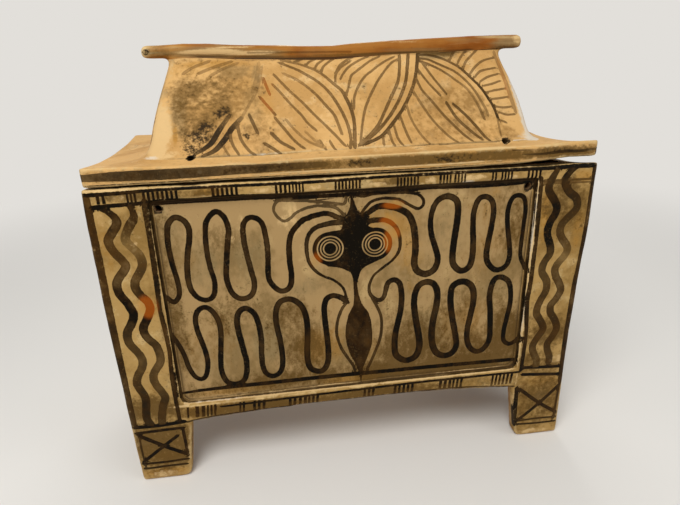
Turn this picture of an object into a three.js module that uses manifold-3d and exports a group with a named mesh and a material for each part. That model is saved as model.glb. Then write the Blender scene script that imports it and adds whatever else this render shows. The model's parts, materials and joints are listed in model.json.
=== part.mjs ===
// A Minoan larnax: a painted clay chest on four legs, with a gabled lid that lifts off.
// Millimetres. +X runs to the right along the chest, +Y to the back, +Z up.
// The origin is under the middle of the chest, on the level of its soles.

import * as THREE from 'three';
import { mergeVertices } from 'three/addons/utils/BufferGeometryUtils.js';
import Module from 'manifold-3d';

const wasm = await Module();
wasm.setup();

// Chest, outside
const chestLength = 1060;
const chestDepth = 467;
const rimHeight = 725;            // soles to the lip that the lid sits on
const cornerRound = 8;            // upright outside corners of chest and lid

// Slabs
const panelThickness = 22;
const panelRecess = 14;           // how far a panel sits behind its frame
const floorThickness = 30;

// Frame round each panel
const leftStileWidth = 118;
const rightStileWidth = 130;
const endStileWidth = 110;        // the stiles' other leaf, on the short ends
const rimRailHeight = 35;
const bottomRailHeight = 55;
const frameCornerRadius = 25;     // lower corners of each panel opening
const floorBelowPanels = 6;       // floor's upper face, under the panels' lower edge

// Legs
const legHeight = 155;
const legTopWidth = 135;
const legSoleWidth = 115;
const endLegTopWidth = 124;
const endLegSoleWidth = 105;
const soleCornerRadius = 16;
const archRise = 17;              // hollow of the bottom rails between the legs

// Lid
const lidThickness = 38;
const lidRestGap = 0.3;           // lid to rim at rest
const roofInset = 50;             // lid's front edge to the foot of the slope
const roofRise = 201;             // foot to where the two slopes would meet
const slopeThickness = 22;
const gableThickness = 24;
const leftGableFoot = 118;        // in from the lid's left end
const leftGableTop = 160;
const rightGableFoot = 128;       // in from the lid's right end
const rightGableTop = 146;
const gableFlare = 24;            // spread of each gable where it meets the lid's frame
const gableFlareHeight = 34;
const slopeCove = 8;              // same, along the front and back
const slopeCoveHeight = 12;

// Ridge beam
const beamLeftInset = 103;        // in from the lid's left end
const beamRightInset = 89;
const beamHeight = 26;
const beamDepth = 36;
const beamTop = 218;              // above the lid's frame, at the beam's ends
const beamSag = 8;
const beamEndRadius = 15;
const beamEdgeRadius = 9;

// Holes for the cords that tied the lid down
const chestHoleRadius = 6;
const chestHoleSide = 13;         // in from the side of the panel opening
const chestHoleDrop = 20;         // down from the rim rail
const lidHoleRadius = 5;
const lidHoleInset = 44;          // in from the lid's long edge
const leftLidHole = 204;          // in from the lid's left end
const rightLidHole = 191;

const cutGap = 0.3;               // between slanted faces of neighbouring pieces
const curveSteps = 5;
const archSteps = 12;
const holeSides = 16;

// Places that several pieces share
const wall = panelThickness + panelRecess;
const left = -chestLength / 2;
const right = chestLength / 2;
const front = -chestDepth / 2;
const back = chestDepth / 2;
const openingLeft = left + leftStileWidth;
const openingRight = right - rightStileWidth;
const openingFront = front + endStileWidth;
const openingBack = back - endStileWidth;
const panelBottom = legHeight + bottomRailHeight;
const panelTop = rimHeight - rimRailHeight;
const floorTop = panelBottom - floorBelowPanels;
const lidBottom = rimHeight + lidRestGap;
const lidTop = lidBottom + lidThickness;
const roofApex = lidTop + roofRise;
const slopeRun = chestDepth / 2 - roofInset;
const slopeLength = Math.hypot(slopeRun, roofRise);
const slopeFootWidth = slopeThickness * slopeLength / roofRise;
const slopeDrop = slopeThickness * slopeLength / slopeRun;

// Clay, by where it stands: the slip is palest on the lid and greyest on the panels
const clay = (color, roughness) => new THREE.MeshStandardMaterial({ color, roughness, metalness: 0 });
const finish = {
  frame: () => clay(0xa98d60, 0.8),
  panel: () => clay(0x8f7858, 0.82),
  lid: () => clay(0xc2a070, 0.78),
  beam: () => clay(0x9c6028, 0.75),
  floor: () => clay(0x8a6a48, 0.9),
};

const larnax = new THREE.Group();

function add(name, geometry, material) {
  const mesh = new THREE.Mesh(geometry, material);
  mesh.name = name;
  larnax.add(mesh);
}

// An outline drawn through corners [u, v], or [u, v, radius] where the corner is round
function outline(corners) {
  const shape = new THREE.Shape();
  corners.forEach(([u, v, radius = 0], i) => {
    const here = new THREE.Vector2(u, v);
    const before = new THREE.Vector2(...corners.at(i - 1));
    const after = new THREE.Vector2(...corners[(i + 1) % corners.length]);
    const start = here.clone().add(before.sub(here).setLength(radius));
    const end = here.clone().add(after.sub(here).setLength(radius));
    if (i === 0) shape.moveTo(start.x, start.y);
    else shape.lineTo(start.x, start.y);
    if (radius > 0) shape.quadraticCurveTo(u, v, end.x, end.y);
  });
  shape.closePath();
  return shape;
}

const rectangle = (u0, u1, v0, v1, radius = 0) => outline([
  [u0, v0, radius],
  [u1, v0, radius],
  [u1, v1, radius],
  [u0, v1, radius],
]);

// A slab: an outline given in two of the axes, from low to high along the third
const planes = {
  xy: (u, v, w) => [u, v, w],
  yz: (u, v, w) => [w, u, v],
  xz: (u, v, w) => [u, w, v],
};

function slab(shape, plane, low, high, curveSegments = curveSteps) {
  const geometry = new THREE.ExtrudeGeometry(shape, { depth: 1, bevelEnabled: false, curveSegments });
  const position = geometry.getAttribute('position');
  const [start, end] = plane === 'xz' ? [high, low] : [low, high];
  for (let i = 0; i < position.count; i++) {
    const w = position.getZ(i) > 0.5 ? end : start;
    position.setXYZ(i, ...planes[plane](position.getX(i), position.getY(i), w));
  }
  geometry.computeVertexNormals();
  return geometry;
}

// Joining and cutting
function solid(geometry) {
  const bare = geometry.clone();
  bare.deleteAttribute('normal');
  bare.deleteAttribute('uv');
  const merged = mergeVertices(bare, 1e-4);
  return new wasm.Manifold(new wasm.Mesh({
    numProp: 3,
    vertProperties: Float32Array.from(merged.getAttribute('position').array),
    triVerts: Uint32Array.from(merged.getIndex().array),
  }));
}

function geometryOf(manifold) {
  const { vertProperties, triVerts, numProp } = manifold.getMesh();
  const geometry = new THREE.BufferGeometry();
  const position = new Float32Array(vertProperties.length / numProp * 3);
  for (let i = 0; i < position.length / 3; i++) {
    position.set(vertProperties.subarray(i * numProp, i * numProp + 3), i * 3);
  }
  geometry.setAttribute('position', new THREE.BufferAttribute(position, 3));
  geometry.setIndex(Array.from(triVerts));
  geometry.computeVertexNormals();
  return geometry;
}

// Posts: each is an L of two leaves, and runs down into a leg that tapers on its inner side
function leaf(edge, inward, stile, legTop, legSole) {
  return outline([
    [edge, 0],
    [edge + inward * legSole, 0, soleCornerRadius],
    [edge + inward * legTop, legHeight],
    [edge + inward * stile, legHeight],
    [edge + inward * stile, rimHeight],
    [edge, rimHeight],
  ]);
}

const footprint = solid(slab(rectangle(left, right, front, back, cornerRound), 'xy', 0, rimHeight));

function post(name, side, face) {
  const stile = side < 0 ? leftStileWidth : rightStileWidth;
  const longEdge = side * chestLength / 2;
  const endEdge = face * chestDepth / 2;
  const longLeaf = slab(
    leaf(longEdge, -side, stile, legTopWidth, legSoleWidth), 'xz',
    Math.min(endEdge, endEdge - face * wall), Math.max(endEdge, endEdge - face * wall),
  );
  const endLeaf = slab(
    leaf(endEdge, -face, endStileWidth, endLegTopWidth, endLegSoleWidth), 'yz',
    Math.min(longEdge, longEdge - side * wall), Math.max(longEdge, longEdge - side * wall),
  );
  add(name, geometryOf(solid(longLeaf).add(solid(endLeaf)).intersect(footprint)), finish.frame());
}

post('post_front_left', -1, -1);
post('post_front_right', 1, -1);
post('post_back_left', -1, 1);
post('post_back_right', 1, 1);

// One side of the chest, between two posts: rim rail, panel and arched bottom rail.
// u0 and u1 are the sides of its opening, leg0 and leg1 the inner corners of the leg tops.
function side(name, plane, [u0, u1], [leg0, leg1], outer, inward, holes) {
  const span = (depth) => [Math.min(outer + inward * depth, outer + inward * wall),
    Math.max(outer + inward * depth, outer + inward * wall)];

  add(`rim_rail_${name}`, slab(rectangle(u0, u1, panelTop, rimHeight), plane, ...span(0)), finish.frame());

  const rail = new THREE.Shape();
  rail.moveTo(u0, legHeight);
  rail.lineTo(leg0, legHeight);
  rail.quadraticCurveTo((leg0 + leg1) / 2, legHeight + 2 * archRise, leg1, legHeight);
  rail.lineTo(u1, legHeight);
  rail.lineTo(u1, panelBottom + frameCornerRadius);
  rail.quadraticCurveTo(u1, panelBottom, u1 - frameCornerRadius, panelBottom);
  rail.lineTo(u0 + frameCornerRadius, panelBottom);
  rail.quadraticCurveTo(u0, panelBottom, u0, panelBottom + frameCornerRadius);
  rail.closePath();
  add(`bottom_rail_${name}`, slab(rail, plane, ...span(0), archSteps), finish.frame());

  const panel = outline([
    [u0, panelBottom, frameCornerRadius + 2 * cutGap],
    [u1, panelBottom, frameCornerRadius + 2 * cutGap],
    [u1, panelTop],
    [u0, panelTop],
  ]);
  if (holes) {
    for (const u of [u0 + chestHoleSide, u1 - chestHoleSide]) {
      panel.holes.push(new THREE.Path().absarc(u, panelTop - chestHoleDrop, chestHoleRadius, 0, 2 * Math.PI));
    }
  }
  return slab(panel, plane, ...span(panelRecess), archSteps);
}

const longOpening = [openingLeft, openingRight];
const longLegs = [left + legTopWidth, right - legTopWidth];
const endOpening = [openingFront, openingBack];
const endLegs = [front + endLegTopWidth, back - endLegTopWidth];

add('front_panel', side('front', 'xz', longOpening, longLegs, front, 1, true), finish.panel());
add('back_panel', side('back', 'xz', longOpening, longLegs, back, -1, true), finish.panel());
add('left_end_panel', side('left', 'yz', endOpening, endLegs, left, 1, false), finish.panel());
add('right_end_panel', side('right', 'yz', endOpening, endLegs, right, -1, false), finish.panel());

// Floor, let in between the four walls
const floorOutline = rectangle(left + wall, right - wall, front + wall, back - wall);
add('floor_slab', slab(floorOutline, 'xy', floorTop - floorThickness, floorTop), finish.floor());

// Cord holes of the lid, pierced where the slopes meet its frame
const lidHoles = [
  [left + leftLidHole, front + lidHoleInset],
  [right - rightLidHole, front + lidHoleInset],
  [left + leftLidHole, back - lidHoleInset],
  [right - rightLidHole, back - lidHoleInset],
];

function drill(piece) {
  return lidHoles.reduce((rest, [x, y]) => {
    const bit = new THREE.Shape().absarc(x, y, lidHoleRadius, 0, 2 * Math.PI);
    return rest.subtract(solid(slab(bit, 'xy', lidBottom - lidThickness, roofApex, holeSides)));
  }, solid(piece));
}

// Lid frame: a flat ring of slab
const lidOutline = rectangle(left, right, front, back, cornerRound);
lidOutline.holes.push(rectangle(
  left + leftGableFoot + gableThickness,
  right - rightGableFoot - gableThickness,
  front + roofInset + slopeFootWidth,
  back - roofInset - slopeFootWidth,
));
add('lid_frame', geometryOf(drill(slab(lidOutline, 'xy', lidBottom, lidTop))), finish.lid());

// Ridge beam, hung a little in the middle, and the same bar grown by a gap to cut its seat
function beam(grow) {
  const halfDepth = beamDepth / 2 + grow;
  const halfHeight = beamHeight / 2 + grow;
  const centre = lidTop + beamTop - beamHeight / 2;
  const path = new THREE.QuadraticBezierCurve3(
    new THREE.Vector3(left + beamLeftInset - grow, 0, centre),
    new THREE.Vector3(0, 0, centre - 2 * beamSag),
    new THREE.Vector3(right - beamRightInset + grow, 0, centre),
  );
  const section = rectangle(-halfDepth, halfDepth, -halfHeight, halfHeight, beamEdgeRadius);
  return solid(new THREE.ExtrudeGeometry(section, { steps: archSteps, curveSegments: 3, extrudePath: path }));
}

const beamPlan = rectangle(
  left + beamLeftInset, right - beamRightInset,
  -beamDepth / 2, beamDepth / 2, beamEndRadius,
);
add('ridge_beam', geometryOf(beam(0).intersect(solid(slab(beamPlan, 'xy', lidTop, lidTop + beamTop)))),
  finish.beam());
const seat = beam(cutGap);

// Roof slopes: slabs that lean on each other under the beam, with a small cove at the foot
function slopeOuterLine(shape, face) {
  const foot = face * slopeRun;
  const up = slopeCoveHeight / roofRise;
  shape.lineTo(foot + face * slopeCove, lidTop);
  shape.quadraticCurveTo(foot, lidTop, foot * (1 - up), lidTop + slopeCoveHeight);
}

function slope(name, face) {
  const shape = new THREE.Shape();
  shape.moveTo(face * (slopeRun - slopeFootWidth), lidTop);
  slopeOuterLine(shape, face);
  shape.lineTo(0, roofApex);
  shape.lineTo(0, roofApex - slopeDrop);
  shape.closePath();
  const inside = gableThickness + cutGap;
  const between = outline([
    [left + leftGableFoot + inside, lidTop],
    [right - rightGableFoot - inside, lidTop],
    [right - rightGableTop - inside, roofApex],
    [left + leftGableTop + inside, roofApex],
  ]);
  const trimmed = drill(slab(shape, 'yz', left, right)).intersect(solid(slab(between, 'xz', front, back)));
  add(name, geometryOf(trimmed.subtract(seat)), finish.lid());
}

slope('roof_slope_front', -1);
slope('roof_slope_back', 1);

// Gables: they close the roof's ends and show as a strip along each end of the slopes
const roofSection = new THREE.Shape();
roofSection.moveTo(0, lidTop);
slopeOuterLine(roofSection, -1);
roofSection.lineTo(0, roofApex);
roofSection.lineTo(slopeRun * (1 - slopeCoveHeight / roofRise), lidTop + slopeCoveHeight);
roofSection.quadraticCurveTo(slopeRun, lidTop, slopeRun + slopeCove, lidTop);
roofSection.closePath();

function gable(name, end, foot, top) {
  const at = (inset) => end * (chestLength / 2 - inset);
  const flareTop = foot + (top - foot) * gableFlareHeight / roofRise;
  const shape = new THREE.Shape();
  shape.moveTo(at(foot + gableThickness), lidTop);
  shape.lineTo(at(foot - gableFlare), lidTop);
  shape.quadraticCurveTo(at(foot), lidTop, at(flareTop), lidTop + gableFlareHeight);
  shape.lineTo(at(top), roofApex);
  shape.lineTo(at(top + gableThickness), roofApex);
  shape.closePath();
  const wallSolid = solid(slab(shape, 'xz', front, back)).intersect(solid(slab(roofSection, 'yz', left, right)));
  add(name, geometryOf(wallSolid.subtract(seat)), finish.lid());
}

gable('gable_left', -1, leftGableFoot, leftGableTop);
gable('gable_right', 1, rightGableFoot, rightGableTop);

export default larnax;
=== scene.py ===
import json
import math
import bmesh
import bpy
import numpy as np
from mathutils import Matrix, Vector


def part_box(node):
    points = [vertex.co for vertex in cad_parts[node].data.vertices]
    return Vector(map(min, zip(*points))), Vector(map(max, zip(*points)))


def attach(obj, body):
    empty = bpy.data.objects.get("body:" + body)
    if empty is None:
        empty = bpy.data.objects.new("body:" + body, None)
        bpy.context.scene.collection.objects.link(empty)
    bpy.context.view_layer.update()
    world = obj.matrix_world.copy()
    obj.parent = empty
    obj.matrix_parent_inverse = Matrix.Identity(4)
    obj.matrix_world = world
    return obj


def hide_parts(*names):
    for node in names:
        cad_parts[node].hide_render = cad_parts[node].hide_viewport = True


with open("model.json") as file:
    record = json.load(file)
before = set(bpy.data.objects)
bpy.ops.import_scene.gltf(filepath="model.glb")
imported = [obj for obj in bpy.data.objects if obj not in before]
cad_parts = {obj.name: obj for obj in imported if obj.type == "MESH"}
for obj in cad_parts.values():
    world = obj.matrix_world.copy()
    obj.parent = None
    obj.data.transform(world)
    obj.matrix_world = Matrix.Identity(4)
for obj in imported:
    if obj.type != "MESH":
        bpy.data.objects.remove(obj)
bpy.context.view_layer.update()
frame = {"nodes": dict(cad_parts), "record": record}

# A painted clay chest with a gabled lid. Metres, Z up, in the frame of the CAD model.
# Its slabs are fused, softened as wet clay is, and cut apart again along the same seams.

mm = 0.001
bodies = frame["record"]["behaviour"]["bodies"]


def put(tree, kind, inputs=None, **settings):
    # One node with its settings; an input is a value, or a node or socket to link from
    made = tree.nodes.new(kind)
    for name, value in settings.items():
        setattr(made, name, value)
    for name, value in (inputs or {}).items():
        if isinstance(value, bpy.types.Node):
            value = next(s for s in value.outputs if s.enabled)
        if isinstance(value, bpy.types.NodeSocket):
            tree.links.new(value, made.inputs[name])
        else:
            made.inputs[name].default_value = value
    return made


def newTree(name, sockets):
    # A Geometry Nodes tree with a geometry output, and inputs given as name: (type, default)
    tree = bpy.data.node_groups.new(name, "GeometryNodeTree")
    tree.interface.new_socket("Geometry", in_out="OUTPUT", socket_type="NodeSocketGeometry")
    for label, (kind, default) in sockets.items():
        socket = tree.interface.new_socket(label, in_out="INPUT", socket_type="NodeSocket" + kind)
        if default is not None:
            socket.default_value = default
    return tree, tree.nodes.new("NodeGroupInput").outputs


def closeTree(tree, geometry, material):
    # Every tree ends in Realize Instances and Set Material
    real = put(tree, "GeometryNodeRealizeInstances", {"Geometry": geometry})
    dressed = put(tree, "GeometryNodeSetMaterial", {"Geometry": real, "Material": material})
    put(tree, "NodeGroupOutput", {"Geometry": dressed})


def newObject(name, mesh):
    made = bpy.data.objects.new(name, mesh)
    bpy.context.collection.objects.link(made)
    return made


def settled(made):
    # The evaluated object as a plain mesh, with no modifier left
    graph = bpy.context.evaluated_depsgraph_get()
    mesh = bpy.data.meshes.new_from_object(made.evaluated_get(graph))
    made.modifiers.clear()
    made.data = mesh
    return made


def runTree(made, tree, values):
    modifier = made.modifiers.new(tree.name, "NODES")
    modifier.node_group = tree
    for item in tree.interface.items_tree:
        if item.in_out == "INPUT" and item.name in values:
            modifier[item.identifier] = values[item.name]
    return settled(made)


def numbers(items, name, width):
    # A mesh's values as a numpy array
    found = np.empty(len(items) * width, np.float32)
    items.foreach_get(name, found)
    return found.reshape(-1, width).astype(float) if width > 1 else found.astype(float)


# Materials
def linear(code):
    # An sRGB hex colour as linear RGBA
    parts = [int(code[i:i + 2], 16) / 255 for i in (1, 3, 5)]
    return (*(c / 12.92 if c <= 0.04045 else ((c + 0.055) / 1.055) ** 2.4 for c in parts), 1.0)


# Low-fired clay under a thin burnished slip: matt to silky. The slip's clouds and brush streaks
# give it a warm, uneven ground, and burnishing a soft sheen on the paint.
slips = {
    "frameSlip": {"slip": "#ad8b53", "mottle": "#876836", "light": "#d0b47e", "roughness": 0.58,
                  "streak": (1, 1, 1)},
    "panelSlip": {"slip": "#a38558", "mottle": "#7f663e", "light": "#c4a672", "roughness": 0.62,
                  "streak": (1, 1, 0.6)},
    "lidSlip": {"slip": "#cba064", "mottle": "#b4894f", "light": "#deb981", "roughness": 0.58,
                "streak": (1, 1, 1)},
    "beamSlip": {"slip": "#9a6429", "mottle": "#824714", "light": "#bd9158", "roughness": 0.52,
                 "streak": (0.12, 1, 1)},
    "bareClay": {"slip": "#9a7650", "mottle": "#866445", "light": "#ae8b62", "roughness": 0.85,
                 "streak": (1, 1, 1)},
}
# Ground iron paint, fired black, brown or orange by the kiln's air, then soot, earth and wear, with
# painted shade and painted highlights among them
pigment = {
    "black": "#0d0802",
    "brown": "#482c08",
    "rust": "#8a4309",
    "rustSlip": "#b5823c",
    "gold": "#a5762f",
    "grey": "#84704b",
    "stainAndShade": "#8a6635",
    "umberAndShade": "#5c431d",
    "sootAndShade": "#241a0e",
    "plasterAndHighlight": "#d0ae79",
    "limeAndHighlight": "#cfc5b3",
    "worn": "#cfb07a",
    "dirtAndShade": "#3d2b15",
    "bare": "#94714b",
    "bareLight": "#a98862",
}
grainSizes = {  # mm; the real grit is finer and would not show
    "cloud": 150, "patch": 46, "brush": 11, "speckle": 4.2, "grit": 1.7,
}
# Washes laid over each other: colour, attribute that places it, how far each noise moves it,
# the value where it starts, the value where it is full, its strength
underPaint = (
    ("mottle", "", {"cloud": 1.0, "brush": 0.25}, -0.08, 0.13, 0.9),
    ("light", "", {"patch": 1.0, "brush": 0.3}, 0.02, 0.22, 0.7),
    ("dirtAndShade", "", {"speckle": 1.0, "cloud": 0.3}, 0.13, 0.26, 0.35),
    ("gold", "gold", {"patch": 1.0, "brush": 0.6}, 0.15, 0.8, 0.75),
    ("rustSlip", "rust", {"patch": 0.8, "brush": 0.6}, 0.3, 1.0, 0.5),
    ("grey", "grey", {"patch": 1.1, "brush": 0.8}, 0.15, 0.8, 0.75),
    # stains, and painted shade on the front panel
    ("stainAndShade", "stainAndShade", {"patch": 1.2, "brush": 0.9}, 0.15, 0.7, 0.85),
    # earth, and painted shade on the rim under the lid, over the lower chest, along the lid's edge and
    # under the bar
    ("umberAndShade", "umberAndShade", {"patch": 1.0, "brush": 0.9, "speckle": 0.5}, 0.15, 0.75, 0.9),
    # soot, and painted shade in the tie holes and in the gap under the lid
    ("sootAndShade", "sootAndShade", {"patch": 0.8, "brush": 1.2, "speckle": 1.5}, 0.2, 0.75, 0.92),
    # plaster and wear, and painted highlights along arrises
    ("plasterAndHighlight", "paleAndHighlight", {"patch": 0.8, "brush": 0.7, "speckle": 0.3}, 0.3, 0.6, 0.85),
    # whitish wear and plaster, and a painted highlight at the lid's right end
    ("limeAndHighlight", "limeAndHighlight", {"patch": 0.8, "brush": 0.6, "speckle": 0.4}, 0.25, 0.7, 0.9),
    ("worn", "proud", {"brush": 0.4, "patch": 0.4}, 0.14, 0.34, 0.6),
)
overPaint = (
    ("worn", "proud", {"brush": 0.9, "speckle": 0.6, "patch": 0.5}, 0.3, 0.55, 0.5),
    # darker in the hollows: dirt, with painted shade
    ("dirtAndShade", "proud", {"brush": 0.25, "patch": 0.15}, -0.04, -0.17, 0.75),
)
eyes = {  # mm
    "left": (475, 561),  # middle: from the chest's left end, height
    "right": (573.8, 563.8),
    "outside": 38.5,  # radius of the dark disc
    "rings": ((13.0, 16.0), (19.4, 22.2), (26.4, 29.4)),  # cream rings, inside and outside
    "discFade": 0.4,  # half the width in which each edge fades
    "ringFade": 0.35,
}
artShift = (1.5, -2.0)  # the octopus's place on its panel, mm
noiseMoves = {  # what each noise moves, and how far; a noise runs from about -0.3 to 0.3
    "edge": {"brush": 2.6, "speckle": 1.6},  # mm, the edge of a stroke
    "eyes": {"brush": 1.3},
    "coat": {"brush": 8.0},  # mm, the edge of the slip
    "flake": {"cloud": 0.4},
    "tone": {"patch": 1.5, "brush": 0.8},
    "rust": {"patch": 0.5},
    "sheen": {"brush": 0.3},
    "relief": {"patch": 0.9, "brush": 0.45, "grit": 0.3},  # mm
}
fades = {  # where each of these sets in, and where it is full
    "cover": (0.45, -0.45),  # mm from the edge of a stroke: paint
    "inner": (-0.8, -3.6),  # mm: past the rim in which the paint pools
    "flake": (0.09, 0.24),  # noise: paint that has come off
    "thin": (-0.08, 0.16),  # noise: paint laid thinly
    "rust": (0.25, 0.85),  # paint fired orange
}
paintLook = {
    "overlap": 1.8,  # mm; a point further than this from every stroke holds no paint
    "barPitch": 8.0,  # mm, the short bars' spacing
    "barHalf": 2.4,  # and half width
    "thinLoss": 0.34,  # share of the paint that is missing where it is thin
    "hold": 1.2,  # less a stroke's strength, the share of these losses it takes
    "load": 1.045,  # how full the brush is
    "sheen": -0.08,  # how far paint moves the roughness
    "height": 0.07,  # mm
}
clayLook = {
    "bare": (-0.1, 0.1),  # noise that takes the bare clay from dark to light
    "coatFade": 1.5,  # mm, half the width in which the slip's edge fades
    "bareRoughness": 0.9,
    "pits": (-0.14, -0.22),  # noise where a pit starts, and is deepest
    "pitDepth": 0.35,  # mm
    "bump": 0.9,
    "ior": 1.5,
    "specular": 0.06,
}


def clayMaterial(name, colours, withEyes):
    material = bpy.data.materials.new(name)
    material.use_nodes = True
    tree = material.node_tree
    tree.nodes.clear()
    shades = {key: linear(code) for key, code in (pigment | colours).items() if isinstance(code, str)}
    where = put(tree, "ShaderNodeTexCoord")
    place = put(tree, "ShaderNodeVectorMath", {
        0: where.outputs["Object"], "Scale": 1 / mm}, operation="SCALE")
    drawn = put(tree, "ShaderNodeVectorMath", {0: place, 1: colours["streak"]}, operation="MULTIPLY")
    noise = {}
    for kind, size in grainSizes.items():
        grain = put(tree, "ShaderNodeTexNoise", {
            "Vector": drawn if kind in ("patch", "brush") else place,
            "Scale": 1 / size, "Detail": 4.0, "Roughness": 0.58})
        noise[kind] = put(tree, "ShaderNodeMath", {0: grain, 1: 0.5}, operation="SUBTRACT")
    value = {}
    for key in ("rust", "ink", "across", "half", "tone", "body", "bars", "barEnds", "coat"):
        value[key] = put(tree, "ShaderNodeAttribute", attribute_name=key).outputs["Fac"]

    # Distance to the paint's edge in mm, negative inside: strokes, then the short bars
    away = put(tree, "ShaderNodeMath", {0: value["across"]}, operation="ABSOLUTE")
    away = put(tree, "ShaderNodeMath", {0: away, 1: value["half"]}, operation="SUBTRACT")
    near = put(tree, "ShaderNodeMath", {0: value["ink"], 1: paintLook["overlap"]}, operation="SUBTRACT")
    edge = put(tree, "ShaderNodeMath", {0: away, 1: near}, operation="MAXIMUM")
    bar = put(tree, "ShaderNodeMath", {0: value["bars"], 1: 0.5}, operation="PINGPONG")
    bar = put(tree, "ShaderNodeMath", {
        0: bar, 1: paintLook["barPitch"], 2: -paintLook["barHalf"]}, operation="MULTIPLY_ADD")
    beyond = put(tree, "ShaderNodeMath", {0: value["barEnds"], 1: -1.0}, operation="MULTIPLY")
    bar = put(tree, "ShaderNodeMath", {0: bar, 1: beyond}, operation="MAXIMUM")
    edge = put(tree, "ShaderNodeMath", {0: edge, 1: bar}, operation="MINIMUM")
    pits = put(tree, "ShaderNodeMapRange", {
        "Value": noise["speckle"], "From Min": clayLook["pits"][0], "From Max": clayLook["pits"][1],
        "To Max": -clayLook["pitDepth"]})
    moved = {
        "edge": edge, "flake": noise["speckle"], "tone": value["tone"], "rust": value["rust"],
        "coat": value["coat"], "sheen": colours["roughness"], "relief": pits}
    if withEyes:
        flat = put(tree, "ShaderNodeVectorMath", {0: place, 1: (1, 0, 1)}, operation="MULTIPLY")
        radii = []
        for side in ("left", "right"):
            x, z = eyes[side]
            centre = (x + artShift[0] + left / mm, 0, z + artShift[1])
            middle = put(tree, "ShaderNodeVectorMath", {0: flat, 1: centre}, operation="DISTANCE")
            radii.append(middle.outputs["Value"])
        moved["eyes"] = put(tree, "ShaderNodeMath", {0: radii[0], 1: radii[1]}, operation="MINIMUM")
    for key in moved:
        for kind, far in noiseMoves[key].items():
            moved[key] = put(tree, "ShaderNodeMath", {
                0: noise[kind], 1: far, 2: moved[key]}, operation="MULTIPLY_ADD")
    faded = {"cover": moved["edge"], "inner": moved["edge"], "thin": noise["patch"]}
    faded |= {key: moved[key] for key in ("flake", "rust")}
    for key in faded:
        faded[key] = put(tree, "ShaderNodeMapRange", {
            "Value": faded[key], "From Min": fades[key][0], "From Max": fades[key][1]},
            interpolation_type="SMOOTHSTEP")

    cover = faded["cover"]
    if withEyes:
        disc = put(tree, "ShaderNodeMapRange", {
            "Value": moved["eyes"], "From Min": eyes["outside"] + eyes["discFade"],
            "From Max": eyes["outside"] - eyes["discFade"]})
        cover = put(tree, "ShaderNodeMath", {0: cover, 1: disc}, operation="MAXIMUM")
        for inside, outside in eyes["rings"]:
            middle, half = (inside + outside) / 2, (outside - inside) / 2
            off = put(tree, "ShaderNodeMath", {0: moved["eyes"], 1: middle}, operation="SUBTRACT")
            off = put(tree, "ShaderNodeMath", {0: off}, operation="ABSOLUTE")
            dark = put(tree, "ShaderNodeMapRange", {
                "Value": off, "From Min": half - eyes["ringFade"], "From Max": half + eyes["ringFade"]})
            cover = put(tree, "ShaderNodeMath", {0: cover, 1: dark}, operation="MULTIPLY")

    # Paint pools at its edge, and inside is thin or flaked, the more so in a weak stroke
    thin = put(tree, "ShaderNodeMath", {0: faded["thin"], 1: faded["inner"]}, operation="MULTIPLY")
    loss = put(tree, "ShaderNodeMath", {
        0: thin, 1: paintLook["thinLoss"], 2: faded["flake"]}, operation="MULTIPLY_ADD", use_clamp=True)
    weak = put(tree, "ShaderNodeMath", {0: paintLook["hold"], 1: value["body"]}, operation="SUBTRACT")
    loss = put(tree, "ShaderNodeMath", {0: loss, 1: weak}, operation="MULTIPLY")
    kept = put(tree, "ShaderNodeMath", {0: 1.0, 1: loss}, operation="SUBTRACT", use_clamp=True)
    kept = put(tree, "ShaderNodeMath", {0: kept, 1: value["body"]}, operation="MULTIPLY")
    kept = put(tree, "ShaderNodeMath", {
        0: kept, 1: paintLook["load"]}, operation="MULTIPLY", use_clamp=True)
    opaque = put(tree, "ShaderNodeMath", {0: cover, 1: kept}, operation="MULTIPLY")

    def washed(colour, washes):
        for shade, at, moves, start, full, strength in washes:
            share = 0.0
            if at:
                share = put(tree, "ShaderNodeAttribute", attribute_name=at).outputs["Fac"]
            for kind, far in moves.items():
                share = put(tree, "ShaderNodeMath", {
                    0: noise[kind], 1: far, 2: share}, operation="MULTIPLY_ADD")
            shown = put(tree, "ShaderNodeMapRange", {
                "Value": share, "From Min": start, "From Max": full, "To Max": strength},
                interpolation_type="SMOOTHSTEP")
            colour = put(tree, "ShaderNodeMix", {
                0: shown, 6: colour, 7: shades[shade]}, data_type="RGBA")
        return colour

    # Inside, and on the soles, the clay is bare
    coated = put(tree, "ShaderNodeMapRange", {
        "Value": moved["coat"], "From Min": -clayLook["coatFade"], "From Max": clayLook["coatFade"]})
    bare = put(tree, "ShaderNodeMapRange", {
        "Value": noise["patch"], "From Min": clayLook["bare"][0], "From Max": clayLook["bare"][1]})
    ground = washed(shades["slip"], underPaint)
    paint = shades["black"]
    for share, over in ((moved["tone"], shades["brown"]), (faded["rust"], shades["rust"])):
        paint = put(tree, "ShaderNodeMix", {0: share, 6: paint, 7: over}, data_type="RGBA")
    painted = put(tree, "ShaderNodeMix", {0: opaque, 6: ground, 7: paint}, data_type="RGBA")
    bare = put(tree, "ShaderNodeMix", {
        0: bare, 6: shades["bare"], 7: shades["bareLight"]}, data_type="RGBA")
    colour = put(tree, "ShaderNodeMix", {
        0: coated, 6: bare, 7: washed(painted, overPaint)}, data_type="RGBA")

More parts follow.
